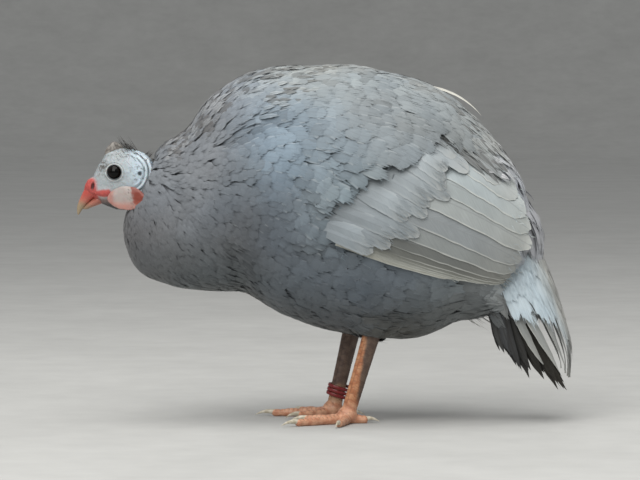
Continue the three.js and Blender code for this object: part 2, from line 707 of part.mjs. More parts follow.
node("neck", cut(neckPart, headGrown, ...bothSides(wattle).map((g) => solid(grown(g)))), PLUMAGE);
node(
  "torso",
  cut(
    trunkPart.add(joined(tailCoverts())),
    ...bothSides(wingCore(GAP)).map(solid),
    solid(tailCore(GAP)),
    ...[...thighs, ...shanks].map((g) => solid(grown(g))),
  ),
  PLUMAGE,
);
node("tail", tailMade, PLUMAGE);

LEGS.forEach((leg, n) => {
  const name = leg.side === LEFT ? "left" : "right";
  const dark = leg.side === LEFT ? SCUTES : SCUTES_DARK;
  node("wing_" + name, solid(onSide(meshed(wingMade), leg.side)), WING_PLUMAGE);
  const toes = leg.toes.map((turn, i) => onSide(toe(leg, i, turn), leg.side));
  const palm = onSide(ball([leg.ankle[0] - 1, leg.out, 6.5], [9, 8, 8], 10, 6), leg.side);
  const foot = cut(joined([...toes, palm]), floor, solid(grown(shanks[n])));
  const wingSockets = bothSides(wingCore(GAP)).map(solid);
  node("thigh_" + name, cut(solid(thighs[n]), solid(grown(shanks[n])), ...wingSockets), PLUMAGE);
  node("shank_" + name, solid(shanks[n]), dark);
  node("foot_" + name, foot, SCUTES);
  leg.toes.forEach((turn, i) => {
    const made = cut(solid(onSide(claw(leg, i, turn), leg.side)), solid(grown(toes[i])), floor);
    node("claw_" + name + "_" + (i + 1), made, CLAW_HORN);
  });
});
node("leg_ring", solid(onSide(legRing(LEGS[1]), RIGHT)), RING_PLASTIC);

export default root;
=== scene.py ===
# The looks of a guinea fowl of the plain grey breed, life size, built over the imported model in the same
# frame. Sizes are in millimetres until a mesh is made. The bird looks along -X and its left side is at -Y.
import math
from functools import partial

import bmesh
import bpy
import numpy as np
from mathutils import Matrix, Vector, noise
from mathutils.bvhtree import BVHTree


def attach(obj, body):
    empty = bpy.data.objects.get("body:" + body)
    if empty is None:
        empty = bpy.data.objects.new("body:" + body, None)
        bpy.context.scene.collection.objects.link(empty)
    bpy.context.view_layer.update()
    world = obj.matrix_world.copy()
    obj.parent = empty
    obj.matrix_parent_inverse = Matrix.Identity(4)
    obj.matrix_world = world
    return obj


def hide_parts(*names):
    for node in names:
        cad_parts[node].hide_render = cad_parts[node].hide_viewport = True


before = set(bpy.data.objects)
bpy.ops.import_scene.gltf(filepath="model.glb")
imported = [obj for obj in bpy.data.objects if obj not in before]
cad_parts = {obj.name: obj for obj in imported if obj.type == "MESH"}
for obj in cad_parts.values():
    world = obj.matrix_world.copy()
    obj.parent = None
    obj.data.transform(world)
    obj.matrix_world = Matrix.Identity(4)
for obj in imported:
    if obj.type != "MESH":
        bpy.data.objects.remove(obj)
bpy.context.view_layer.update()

MM = 0.001
LEFT, RIGHT = -1, 1
SIDES = {"left": LEFT, "right": RIGHT}

# Stations of a body, from tip to tip: x and z of its upper line, x and z of its lower line, half its width.
TRUNK = [
    (-175, 168, -175, 168, 0), (-169, 191, -172, 147, 19), (-155, 217, -161, 127, 28),
    (-140, 238, -141, 118, 38), (-120, 250.5, -118, 112, 47), (-97, 279, -94, 111, 55),
    (-67, 298, -66, 108, 66), (-30, 304, -40, 92, 77), (10, 303, 0, 78, 84), (50, 297, 42, 71, 86),
    (91, 286.5, 80, 71, 79), (126, 259.5, 110, 83, 66), (155, 226, 136, 90, 50),
    (174, 196, 157, 105, 34), (185, 165, 177, 124, 18), (188, 145, 188, 145, 0),
]
WING = [
    (-90, 208, -90, 208, 0), (-75, 240, -75, 180, 7), (-44, 267, -40, 158, 9), (3, 279, 8, 144, 9),
    (55, 274, 55, 136, 8), (98, 251, 98, 129, 6.5), (135, 215, 132, 125, 5), (165, 139, 165, 139, 0),
]
HEAD = [
    (-202, 199, -202, 199, 0), (-200, 210, -198, 189, 6.5), (-196, 219, -190.5, 185.5, 9.5),
    (-189, 227, -182, 182, 12.5), (-177, 232, -172, 181, 15), (-164, 232.5, -162, 184, 15.8),
    (-153, 227, -154, 190, 14), (-147, 217, -149, 198, 9), (-145.5, 208, -145.5, 208, 0),
]
CASQUE = [
    (-190.5, 229, -190.5, 229, 0), (-188, 235, -186, 224, 3.2), (-182.5, 239.6, -181, 223, 4.2),
    (-176, 236.5, -176.5, 224, 3.6), (-172.5, 230, -172.5, 230, 0),
]
BEAK_UPPER = [
    (-213.5, 176.5, -213.5, 176.5, 0), (-214.3, 183.5, -209, 182.5, 1.9),
    (-211.5, 191.5, -205.5, 186.5, 3.8), (-207.5, 199, -200.5, 190.5, 5.4),
    (-200, 205, -194, 193, 6), (-194, 200, -194, 200, 0),
]
BEAK_LOWER = [
    (-209.3, 182.3, -209.3, 182.3, 0), (-205, 187, -206, 181.5, 2.6), (-200, 191, -200.5, 183.5, 4.4),
    (-194, 193.6, -194, 186, 5.2), (-187, 190, -187, 190, 0),
]
CERE = [
    (-208.5, 197, -208.5, 197, 0), (-205.5, 206, -204, 193.5, 5.6), (-200, 209.5, -199, 191, 7.6),
    (-196, 209, -195, 190, 8.4), (-192, 200, -192, 200, 0),
]
# The last number of a wattle's station is how far out it hangs.
WATTLE = [
    (-187.5, 191, -187.5, 191, 0, 12), (-183, 198, -182, 184.6, 1.9, 14),
    (-173, 201.8, -173, 181.8, 2.2, 17), (-163, 200.6, -163, 182.4, 2.1, 20),
    (-156, 195.5, -156, 186, 1.8, 22.5), (-151.5, 190.2, -151.5, 190.2, 0, 24.5),
]
EYE_AT = np.array([-181.4, 213.6])
EYE_OUT, EYE_RADIUS = 9.3, 6.5
EAR_AT = np.array([-159.4, 212.6])
NOSTRIL_AT = np.array([-200.4, 201.5])

# Legs: how far out, x and z of the hock and the ankle, and the directions of the toes in degrees.
LEGS = {
    "left": dict(out=34, hock=np.array([42.0, 86.0]), ankle=np.array([19.0, 9.0]), toes=(-12, 34, 78, 182)),
    "right": dict(out=31, hock=np.array([25.0, 86.0]), ankle=np.array([7.0, 9.0]), toes=(-34, 2, 44, 178)),
}
TOE_LENGTHS, CLAW_LENGTHS = (39, 55, 42, 17), (12, 14, 11, 10)
TOE_RADIUS, TOE_HEIGHT = 4.1, 3.4

# The dome under the tail's feathers: x and z of its ridge, x and z of its side, how far out that lies.
TAIL_DOME = np.array([
    (164, 172, 138, 130, 24), (181, 144, 150, 112, 30), (195, 113, 164, 89, 36),
    (206, 82, 180, 65, 39), (211, 57, 193, 47, 39), (210.5, 40, 200, 37, 37),
], float)

# Plumage colours of the breed, by the part of the coat where each is purest.
PLUMAGE = {
    "throat": "#544944", "nape": "#8a9097", "neck": "#5d6266", "hackle": "#78797c",
    "breast": "#565b5c", "chest": "#505256", "shoulder": "#88a0b4", "scapular": "#7f878c",
    "saddle": "#8f9698", "covert": "#88979f", "rump": "#b4b7bd", "flank": "#606972",
    "thigh": "#444848", "belly": "#4a4943", "vent": "#adb1b2", "shield": "#76828b",
    "side": "#5e666f", "hip": "#778086",
}
# The coat, place by place in the side view: name of its piece, x and z, the way that its feathers lie
# (degrees, 0 backwards, -90 down), their length and width, how far they stand over the trunk, and their
# colour.
COAT = [
    ("neck", -160, 176, -82, 10, 3.2, 0, "throat"),
    ("neck", -150, 200, -50, 10, 3.2, 0, "neck"),
    ("neck", -140, 215, -12, 12, 3.5, 0, "nape"),
    ("neck", -134, 235, 30, 14, 3.8, 1.5, "nape"),
    ("neck", -125, 190, -42, 15, 4.6, 0, "nape"),
    ("neck", -155, 150, -66, 14, 4.4, 0, "neck"),
    ("neck", -132, 150, -52, 16, 5.2, 0, "neck"),
    ("neck", -117, 130, -33, 18, 6, 0, "breast"),
    ("mantle", -112, 243, 44, 19, 4.8, 1, "hackle"),
    ("mantle", -88, 276, 38, 22, 4.8, 1, "hackle"),
    ("mantle", -52, 297, 14, 24, 5.2, 1, "saddle"),
    ("breast", -98, 215, -8, 18, 8, 0, "neck"),
    ("breast", -88, 168, -24, 18, 9, 0, "chest"),
    ("breast", -92, 122, -16, 20, 9, 0, "breast"),
    ("breast", -40, 186, -20, 21, 11, 1, "side"),
    ("back", -62, 246, -2, 22, 12, 2, "shoulder"),
    ("back", -20, 294, -4, 27, 12, 1, "saddle"),
    ("back", -28, 240, -16, 25, 14, 5, "shield"),
    ("back", 28, 256, -26, 28, 15, 9, "scapular"),
    ("back", 64, 288, -16, 30, 11, 1, "saddle"),
    ("back", 70, 236, -30, 29, 15, 11, "scapular"),
    ("back", 116, 262, -36, 32, 10, 2, "saddle"),
    ("back", -2, 196, -26, 24, 14, 6.5, "covert"),
    ("rump", 158, 214, -58, 32, 13, 1, "rump"),
    ("rump", 184, 165, -66, 34, 14, 1, "rump"),
    ("rump", 196, 112, -68, 34, 13, 0, "rump"),
    ("flank", -40, 130, -18, 23, 12, 0, "flank"),
    ("flank", 20, 130, -16, 26, 13, 0, "flank"),
    ("flank", 90, 112, -14, 30, 13, 0, "hip"),
    ("belly", -45, 96, -10, 24, 11, 0, "thigh"),
    ("belly", 35, 78, -12, 27, 11, 0, "belly"),
    ("belly", 100, 82, -12, 28, 11, 0, "belly"),
    ("vent", 140, 100, -32, 30, 11, 0, "vent"),
    ("vent", 168, 96, -60, 32, 11, 0, "vent"),
]
COAT_REACH = 24  # how far a row of the coat makes itself felt
COAT_DEPTH = 4.5


def linear(hexes):
    """An sRGB hex colour as linear numbers."""
    parts = [int(hexes[i:i + 2], 16) / 255 for i in (1, 3, 5)]
    return np.array([p / 12.92 if p <= 0.04045 else ((p + 0.055) / 1.055) ** 2.4 for p in parts])


def joined(*parts):
    """Places or colours out of their parts, each a number or an array."""
    return np.stack(np.broadcast_arrays(*parts), -1)


def through(points, t, closed=False):
    """Places at t, from 0 to 1, on a smooth curve through the points."""
    p, t = np.asarray(points, float), np.asarray(t, float)
    n = len(p)
    x = t * (n if closed else n - 1)
    i = np.floor(x).astype(int)
    if closed:
        w = (x - i)[..., None]
        a, b, c, d = (p[(i + k) % n] for k in (-1, 0, 1, 2))
    else:
        i = np.clip(i, 0, n - 2)
        w = (x - i)[..., None]
        longer = np.vstack([2 * p[0] - p[1], p, 2 * p[-1] - p[-2]])
        a, b, c, d = (longer[i + k] for k in range(4))
    m, k = (c - a) / 2, (d - b) / 2
    return ((2 * b - 2 * c + m + k) * w + (3 * c - 3 * b - 2 * m - k)) * w * w + m * w + b


def smoothstep(low, high, x):
    s = np.clip((np.asarray(x, float) - low) / (high - low), 0, 1)
    return s * s * (3 - 2 * s)


def mixed(a, b, share):
    return a + (b - a) * share


def unit(v):
    return v / np.maximum(np.linalg.norm(v, axis=-1, keepdims=True), 1e-12)


def dabbed(colour, *dabs):
    """A colour with others laid over it in turn, each a hex or an array with how strong it is at every
    point."""
    for over, share in dabs:
        over = linear(over) if isinstance(over, str) else over
        colour = mixed(colour, over, np.clip(share, 0, 1).reshape(-1, 1))
    return colour


class Body:
    """A form told by stations. Its sections join a point of the upper line to one of the lower line."""

    def __init__(self, rows, widest=0.0, squareness=2.0):
        self.last, self.widest, self.squareness = len(rows) - 1, widest, squareness
        self.outline = np.array([r[:2] for r in rows] + [r[2:4] for r in rows[1:-1]][::-1], float)
        self.widths = np.array([(r[4], r[5] if len(r) > 5 else 0) for r in rows], float)

    def upper(self, k):
        return through(self.outline, np.asarray(k) / (2 * self.last), True)

    def lower(self, k):
        return through(self.outline, 1 - np.asarray(k) / (2 * self.last), True)

    def half(self, k):
        return through(self.widths, np.asarray(k) / self.last)[..., 0]

    def profile(self, c):
        return np.sqrt(np.maximum(0, 1 - np.abs(c) ** self.squareness))

    def point(self, t, angle):
        """The point at t from tip to tip: angle 0 is the upper line, a quarter turn the right side."""
        side = through(self.widths, t)
        c, s = np.cos(angle), np.sin(angle)
        level = self.widest * (1 - c * c) + c
        low, top = self.lower(t * self.last), self.upper(t * self.last)
        at = low + (top - low) * ((level + 1) / 2)[..., None]
        return joined(at[..., 0], side[..., 1] + side[..., 0] * self.profile(c) * np.sign(s), at[..., 1])

    def flank(self, x, z, most=1.0, end=None):
        """Half the body's width at a point of the side view, and 0 outside its outline."""
        x, z = np.broadcast_arrays(np.asarray(x, float), np.asarray(z, float))
        low, high = np.full(x.shape, 0.001), np.full(x.shape, self.last - 0.001)

        def across(k):
            t, b = self.upper(k), self.lower(k)
            return (t[..., 0] - b[..., 0]) * (z - b[..., 1]) - (t[..., 1] - b[..., 1]) * (x - b[..., 0])

        rising = across(low) < across(high)
        for _ in range(26):
            k = (low + high) / 2
            under = (across(k) < 0) == rising
            low, high = np.where(under, k, low), np.where(under, high, k)
        t, b = self.upper(low), self.lower(low)
        span = t - b
        up = (x - b[..., 0]) * span[..., 0] + (z - b[..., 1]) * span[..., 1]
        level = 2 * up / (span ** 2).sum(-1) - 1
        w = self.widest
        bend = np.sqrt(np.maximum(0, 1 - 4 * w * (level - w)))
        c = (1 - bend) / (2 * w) if w else level
        return self.half(np.minimum(low, end or self.last)) * self.profile(np.minimum(most, np.abs(c)))


trunk = Body(TRUNK, widest=-0.12, squareness=2.15)
wing_outline = Body(WING)
head = Body(HEAD, squareness=2.3)


# Making meshes.

def between_poles(t):
    """1, but 0 at the two poles of a sphere, where t is 0 and 1."""
    return np.where((t < 0.001) | (t > 0.999), 0, 1)


def rounded(around, rows, place):
    """A sphere whose points are put where place(t, angle) says, with t running from pole to pole."""
    bm = bmesh.new()
    bmesh.ops.create_uvsphere(bm, u_segments=around, v_segments=rows, radius=1)
    co = np.array([v.co for v in bm.verts])
    t = np.arccos(np.clip(co[:, 2], -1, 1)) / math.pi
    for v, p in zip(bm.verts, place(t, np.arctan2(co[:, 1], co[:, 0])) * MM):
        v.co = p
    bmesh.ops.recalc_face_normals(bm, faces=bm.faces)
    return bm


def mirrored(bm, side):
    """The form for that side: forms are made for the right one."""
    if side == LEFT:
        bmesh.ops.scale(bm, vec=(1, -1, 1), verts=bm.verts)
        bmesh.ops.recalc_face_normals(bm, faces=bm.faces)
    return bm


def meshed(name, bm):
    mesh = bpy.data.meshes.new(name)
    bm.to_mesh(mesh)
    bm.free()
    mesh.shade_smooth()
    return mesh


def piece(name, bm, material, slot, *replaced):
    """A finished piece from a bmesh: smooth, riding on the body, and standing for the nodes named."""
    return finished(bpy.data.objects.new(name, meshed(name, bm)), material, slot, *replaced)


def finished(ob, material, slot, *replaced):
    bpy.context.scene.collection.objects.link(ob)
    ob.data.materials.append(material)
    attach(ob, "root")
    if replaced:
        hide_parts(*replaced)
    return ob


def gathered(forms):
    """One bmesh with all of the forms in it."""
    whole = bmesh.new()
    for bm in forms:
        mesh = meshed("form", bm)
        whole.from_mesh(mesh)
        bpy.data.meshes.remove(mesh)
    return whole


def fused(forms, voxel, smoothing):
    """The forms as one closed skin, with its joins smoothed."""
    ob = bpy.data.objects.new("fused", meshed("fused", gathered(forms)))
    bpy.context.scene.collection.objects.link(ob)
    remesh = ob.modifiers.new("fuse", "REMESH")
    remesh.mode, remesh.voxel_size = "VOXEL", voxel * MM
    made = bpy.data.meshes.new_from_object(ob.evaluated_get(bpy.context.evaluated_depsgraph_get()))
    bpy.data.objects.remove(ob)
    bm = bmesh.new()
    bm.from_mesh(made)
    bpy.data.meshes.remove(made)
    for _ in range(smoothing):
        bmesh.ops.smooth_vert(
            bm, verts=bm.verts, factor=0.5, use_axis_x=True, use_axis_y=True, use_axis_z=True)
    bm.normal_update()
    return bm


def places(bm):
    return np.array([v.co for v in bm.verts]) / MM


def normals(bm):
    bm.normal_update()
    return np.array([v.normal for v in bm.verts])


def moved(bm, by):
    """Each point moved along its normal by that many millimetres."""
    for v, b in zip(bm.verts, np.asarray(by) * MM):
        v.co += v.normal * float(b)
    bm.normal_update()


def coloured(bm, colours):
    """Colours the points with linear colours, as the attribute tint."""
    layer = bm.verts.layers.float_color.new("tint")
    for v, c in zip(bm.verts, colours):
        v[layer] = (*c, 1)


def bumps(at, size, seed=0.0):
    """Soft random heights from -1 to 1 at places, size millimetres apart."""
    return np.array([noise.noise(Vector(p) / size + Vector((seed, seed, seed))) for p in at])


# Feathers. Each is a closed blade: a grid of points for its upper face, and one strip under it.

def blade_faces(rows, columns):
    last = columns - 1
    at = lambda r, c: r * columns + c
    upper = [
        (at(r, c), at(r, c + 1), at(r + 1, c + 1), at(r + 1, c)) for r in range(rows - 1) for c in range(last)
    ]
    lower = [(at(r, 0), at(r + 1, 0), at(r + 1, last), at(r, last)) for r in range(rows - 1)]
    ends = [tuple(range(last, -1, -1)), tuple(at(rows - 1, c) for c in range(columns))]
    return upper, lower + ends


UNWRAP_AXIS, UNWRAP_FROM, UNWRAP_LENGTH = 185, -220, 440  # height of its axis, its first X, and its length
UNWRAP_MARGIN, UNWRAP_REACH = 0.02, 0.95
TUFT_PATCH = 0.003  # how much of the unwrap a feather takes up
RIM_ANGLE = math.radians(70)  # a blade is flat up to its rim, which is as sharp as this


def unwrapped(at):
    """Places on an unwrap of the body round its long axis, from 0 to 1."""
    angle = np.arctan2(at[:, 1], at[:, 2] - UNWRAP_AXIS) / (2 * math.pi) + 0.5
    return UNWRAP_MARGIN + UNWRAP_REACH * joined(angle, (at[:, 0] - UNWRAP_FROM) / UNWRAP_LENGTH)


def feathers(name, grid, across, tint, material, slot, *replaced):
    """One piece with all of the feathers in grid: feather, row, column, place. across holds -1 to 1 for
    each column, and tint a linear colour for each feather."""
    n, rows, columns = grid.shape[:3]
    upper, lower = blade_faces(rows, columns)
    corners = np.concatenate([np.array(f) for f in upper + lower])
    sizes = np.array([len(f) for f in upper + lower])
    size = rows * columns
    loops = (corners[None] + (np.arange(n) * size)[:, None]).ravel()
    totals = np.tile(sizes, n)
    mesh = bpy.data.meshes.new(name)
    mesh.vertices.add(n * size)
    mesh.vertices.foreach_set("co", (grid.reshape(-1, 3) * MM).astype(np.float32).ravel())
    mesh.loops.add(len(loops))
    mesh.loops.foreach_set("vertex_index", loops.astype(np.int32))
    mesh.polygons.add(len(totals))
    mesh.polygons.foreach_set("loop_start", np.concatenate([[0], np.cumsum(totals)[:-1]]).astype(np.int32))
    mesh.polygons.foreach_set("use_smooth", np.tile([True] * len(upper) + [False] * len(lower), n))
    along = np.repeat(np.linspace(0, 1, rows), columns)
    aside = np.tile(across, rows)
    steps = np.linalg.norm(np.diff(grid[:, :, columns // 2], axis=1), axis=-1)
    lengths = np.concatenate([np.zeros((n, 1)), np.cumsum(steps, 1)], 1)
    middle = grid[:, :, columns // 2][:, :, None]
    outward = np.linalg.norm(grid - middle, axis=-1) * np.sign(across)
    real = joined(outward, np.repeat(lengths[:, :, None], columns, 2)).reshape(n * size, 2)
    patch = joined((aside + 1) / 2, along) * TUFT_PATCH
    bake = (unwrapped(grid[:, 0, columns // 2])[:, None] + patch[None]).reshape(n * size, 2)
    for layer, values in (("OFBake", bake), ("barbs", real)):
        mesh.uv_layers.new(name=layer).uv.foreach_set("vector", values[loops].astype(np.float32).ravel())
    whim = np.random.default_rng(len(name) * 7 + n).random(n)
    told = {"edge": np.tile(aside, n), "along": np.tile(along, n), "whim": np.repeat(whim, size)}
    for label, values in told.items():
        mesh.attributes.new(label, "FLOAT", "POINT").data.foreach_set("value", values.astype(np.float32))
    colours = np.concatenate([np.repeat(tint, size, 0), np.ones((n * size, 1))], 1)
    layer = mesh.attributes.new("tint", "FLOAT_COLOR", "POINT")
    layer.data.foreach_set("color", colours.astype(np.float32).ravel())
    mesh.update(calc_edges=True)
    mesh.set_sharp_from_angle(angle=RIM_ANGLE)
    return finished(bpy.data.objects.new(name, mesh), material, slot, *replaced)


def bent_blades(name, path, up, width, tint, stuff, rng, shape, rows, columns, cup=0.0, sweep=0.0, ragged=0.0,
                frayed=0.0, droop=0.0, slot="plumage"):
    """A piece with feathers along curves through the three places of path, each with its upward direction
    in up. shape gives how wide a feather is along its length, cup how far its sides bend down, sweep how
    far they run ahead of the shaft, ragged how deep its sides are cut, frayed how uneven its tip is, and
    droop how many millimetres a tip may lie lower."""
    a, b, c = path
    across = COLUMNS[columns]
    n, t = len(a), 1 - (1 - np.linspace(0, 1, rows)) ** 1.25
    aim = 2 * b - (a + c) / 2
    s = t[None, :, None]
    at = (1 - s) ** 2 * a[:, None] + 2 * s * (1 - s) * aim[:, None] + s ** 2 * c[:, None]
    forward = unit(2 * (1 - s) * (aim - a)[:, None] + 2 * s * (c - aim)[:, None])
    normal = mixed(up[0][:, None], up[1][:, None], np.minimum(1, 2 * s))
    normal = unit(mixed(normal, up[2][:, None], np.maximum(0, 2 * s - 1)))
    side = unit(np.cross(forward, normal))
    normal = np.cross(side, forward)
    u = np.asarray(across)[None, None, :, None]
    outline = np.interp(t, *np.array(shape).T)[None, :, None, None]
    every_other = np.where(np.arange(rows) % 2, 1, 0.25)[None, :, None, None]
    teeth = 1 - ragged * rng.random((n, rows, len(across), 1)) * every_other
    half = width[:, None, None, None] / 2 * outline * np.where(np.abs(u) > 0.5, teeth, 1)
    length = np.linalg.norm(c - a, axis=-1)[:, None, None, None]
    ahead = sweep * half * np.abs(u) ** 1.3 * (1 - t[None, :, None, None] ** 4)
    tipness = smoothstep(0.7, 1, t)[None, :, None, None]
    setback = half * (1 - np.sqrt(np.maximum(0, 1 - 0.96 * u ** 2)))
    comb = np.where(np.arange(len(across)) % 2, 0.3, -0.3)[None, None, :, None]
    fray = rng.random((n, 1, len(across), 1)) - 0.6 + comb
    ahead = ahead + tipness * (length * frayed * fray * (1 - u ** 2) - setback)
    thick = np.minimum(0.22, 0.022 * width)[:, None, None, None]
    sunk = (0.6 * thick + droop * rng.random((n, 1, 1, 1))) * tipness
    grid = (
        at[:, :, None] + side[:, :, None] * u * half + forward[:, :, None] * ahead
        + normal[:, :, None] * (thick * (1 - u ** 2) - cup * half * u ** 2 - sunk)
    )
    feathers(name, grid, across, tint, stuff, slot)


# How wide feathers are from their roots to their tips: pairs of a place along them and a share of their
# width.
SOFT = [(0, 0.35), (0.25, 0.8), (0.55, 1), (0.8, 0.94), (0.93, 0.76), (1, 0.52)]
BROAD = [(0, 0.35), (0.2, 0.75), (0.5, 1), (0.8, 1), (0.93, 0.84), (1, 0.6)]
HACKLE = [(0, 0.5), (0.3, 1), (0.6, 0.85), (0.85, 0.45), (1, 0.06)]
HAIR = [(0, 1), (0.5, 0.8), (1, 0.1)]
STRAND = [(0, 0.08), (0.2, 0.6), (0.5, 1), (0.8, 0.6), (1, 0.06)]
RECTRIX = [(0, 0.5), (0.3, 0.95), (0.55, 1), (0.72, 0.82), (0.86, 0.54), (0.95, 0.28), (1, 0.05)]
LANCET = [(0, 0.5), (0.3, 0.95), (0.6, 1), (0.8, 0.76), (0.92, 0.42), (1, 0.08)]
ROUND = [(0, 0.5), (0.3, 0.95), (0.6, 1), (0.8, 0.88), (0.93, 0.6), (1, 0.25)]
LONG = [(0, 0.3), (0.12, 0.55), (0.35, 0.9), (0.6, 1), (0.86, 0.95), (0.95, 0.72), (1, 0.28)]
# Where the columns of points lie across a feather, from side to side.
COLUMNS = {
    "strand": (-1, 0, 1), "narrow": (-1, -0.7, -0.36, 0, 0.36, 0.7, 1),
    "broad": (-1, -0.8, -0.55, -0.28, 0, 0.28, 0.55, 0.8, 1),
    "shafted": (-1, -0.75, -0.4, -0.06, 0, 0.06, 0.4, 0.75, 1),
}


# Materials.

def node(tree, kind, inputs=(), **settings):
    """A new node with its settings. Its inputs, in the order of its sockets or by their names, are numbers,
    colours, sockets, or nodes, which give their first output."""
    made = tree.nodes.new("ShaderNode" + kind)
    for key, value in settings.items():
        setattr(made, key, value)
    sockets = [s for s in made.inputs if s.enabled]
    for key, value in inputs.items() if isinstance(inputs, dict) else enumerate(inputs):
        into = sockets[key] if isinstance(key, int) else next(s for s in sockets if s.name == key)
        if isinstance(value, bpy.types.Node):
            value = next(s for s in value.outputs if s.enabled)
        if isinstance(value, bpy.types.NodeSocket):
            tree.links.new(value, into)
        else:
            is_colour = isinstance(value, np.ndarray)
            into.default_value = (*value, 1)[:len(into.default_value)] if is_colour else value
    return made


def material(name, build):
    """A material with the shader that build makes. build is given the function that adds a node to it."""
    made = bpy.data.materials.new(name)
    made.use_nodes = True
    tree = made.node_tree
    tree.nodes.clear()
    node(tree, "OutputMaterial", [build(partial(node, tree))])
    return made


EASED = {"interpolation_type": "SMOOTHSTEP"}
BARB_SLANT = 1.2  # how far barbs run forwards for each millimetre that they run outwards
BARB_PITCH = 0.85  # barbs in a millimetre. Real ones stand about 0.5 mm apart: these are as coarse as shows.
CLOUDS, CLOUD_SHARE = 38.0, 0.36  # lighter and darker patches about 26 mm across, and how strong they are
RIM_END = 0.96  # where across a vane its fringe has its full colour


def plumage(name, fringe, fringe_share, shaft, shaft_share, streak, one_sided=False, roughness=0.62,
            down_and_shade_at_root=0.8, uneven=0.1, bleach=0.0):
    """Feather keratin: matt, with barbs that run outwards and forwards from the shaft as fine streaks, a
    paler fringe and a shaft of its own colour. streak is how strongly the barbs show."""
    def build(add):
        tint = add("Attribute", attribute_name="tint")
        labels = "edge", "along", "whim"
        edge, along, whim = (add("Attribute", attribute_name=label).outputs["Fac"] for label in labels)
        barbs = add("SeparateXYZ", [add("UVMap", uv_map="barbs")])
        out = add("Math", [barbs.outputs[0]], operation="ABSOLUTE")
        line = add("Math", [out, -BARB_SLANT, barbs.outputs[1]], operation="MULTIPLY_ADD")
        spread_out = ((line, BARB_PITCH), (out, 0.12), (whim, 90.0))
        at = add("CombineXYZ", [add("Math", [a, b], operation="MULTIPLY") for a, b in spread_out])
        fine = add("TexNoise", {"Vector": at, "Scale": 1.0, "Detail": 3.0, "Roughness": 0.6})
        place = add("TexCoord").outputs["Object"]
        cloud = add("TexNoise", {"Vector": place, "Scale": CLOUDS, "Detail": 2.0})
        light = 1 - (streak + uneven + CLOUD_SHARE) / 2
        for value, share in ((fine, streak), (whim, uneven), (cloud, CLOUD_SHARE)):
            light = add("Math", [value, share, light], operation="MULTIPLY_ADD")
        # feathers are darker towards their roots: partly their grey down, partly painted shade under the
        # feathers that overlie them
        from_root = add("MapRange", [along, 0.1, 0.55, down_and_shade_at_root, 1.0], **EASED)
        light = add("Math", [light, from_root], operation="MULTIPLY")
        colour = add("VectorMath", [tint, light], operation="SCALE")
        if bleach:
            paler = add("MapRange", [along, 0.5, 1.0, 0.0, bleach], **EASED)
            colour = add("Mix", [paler, colour, linear("#c3c1b8")], data_type="RGBA")
        outer = {"operation": "MULTIPLY" if one_sided else "ABSOLUTE"}
        sideways = add("Math", [edge, -1.0][:2 if one_sided else 1], **outer)
        rim = add("MapRange", [sideways, 0.86 if one_sided else 0.6, RIM_END, 0.0, fringe_share], **EASED)
        rim = add("Math", [rim, add("MapRange", [along, 0.15, 0.5], **EASED)], operation="MULTIPLY")
        colour = add("Mix", [rim, colour, linear(fringe)], data_type="RGBA")
        quill = add("MapRange", [out, 0.35, 0.8, shaft_share, 0.0], **EASED)
        colour = add("Mix", [quill, colour, linear(shaft)], data_type="RGBA")
        bump = add("Bump", {"Strength": 0.4, "Distance": 0.0004, "Height": fine})
        return add("BsdfPrincipled", {
            "Base Color": colour, "Roughness": roughness, "Normal": bump, "Specular IOR Level": 0.25,
            "Sheen Weight": 0.15, "Sheen Roughness": 0.5,
        })
    return material(name, build)


# How much the fine grain and the broad patches lighten and darken a surface, how many broad patches there
# are to a grain, and how much the grain roughens it.
GRAIN_SHARE, BROAD_SHARE, BROAD_SIZE, ROUGH_SHARE = 0.22, 0.2, 0.22, 0.16


def flesh(name, grain, depth, roughness, coat=0.0, sheen=0.0, scatter=0.0, colour=None):
    """A surface coloured by its points, or in one colour, with a fine grain of that size in millimetres."""
    def build(add):
        tint = linear(colour) if colour else add("Attribute", attribute_name="tint")
        place = add("TexCoord").outputs["Object"]
        fine = add("TexNoise", {"Vector": place, "Scale": 1 / (grain * MM), "Detail": 4.0, "Roughness": 0.6})
        broad = add("TexNoise", {"Vector": place, "Scale": BROAD_SIZE / (grain * MM), "Detail": 2.0})
        light = 1 - (GRAIN_SHARE + BROAD_SHARE) / 2
        for value, share in ((fine, GRAIN_SHARE), (broad, BROAD_SHARE)):
            light = add("Math", [value, share, light], operation="MULTIPLY_ADD")
        rough = [fine, ROUGH_SHARE, roughness - ROUGH_SHARE / 2]
        return add("BsdfPrincipled", {
            "Base Color": add("VectorMath", [tint, light], operation="SCALE"),
            "Roughness": add("Math", rough, operation="MULTIPLY_ADD"),
            "Normal": add("Bump", {"Strength": 0.6, "Distance": depth * MM, "Height": fine}),
            "Coat Weight": coat, "Coat Roughness": 0.12, "Sheen Weight": sheen,
            "Subsurface Weight": scatter, "Subsurface Scale": 0.0015,
        })
    return material(name, build)


# Contour feathers with free barbs at their ends: a soft, matt blue grey.
SOFT_DOWN = plumage("feather_keratin_free_barbs", "#9aa0a6", 0.16, "#5e6266", 0.08, 0.3)
# Loose barbs at the ends of the feathers: no shaft of their own, and as matt as down.
LOOSE_BARBS = plumage("feather_keratin_loose_barbs", "#9aa0a6", 0.08, "#5e6266", 0.0, 0.14, down_and_shade_at_root=1.0,
                      uneven=0.08)
# Closed vanes that lie flat: smoother and a little paler at the rim, with a faint shaft line.
CLOSED_VANE = plumage("feather_keratin_closed_vane", "#c3c8ca", 0.2, "#5c6064", 0.14, 0.2, roughness=0.58)
# Narrow hackles of the mantle, worn brown along the shaft between pale barbs.
HACKLE_VANE = plumage("feather_keratin_worn_hackle", "#b3b1ad", 0.3, "#5a5551", 0.35, 0.36, uneven=0.2)
# Flight feathers: stiff closed vanes with a bleached outer edge.
FLIGHT_VANE = plumage("feather_keratin_flight_vane", "#d3d5d0", 0.6, "#8e9294", 0.4, 0.36, one_sided=True,
                      roughness=0.5, down_and_shade_at_root=0.85, bleach=0.3)
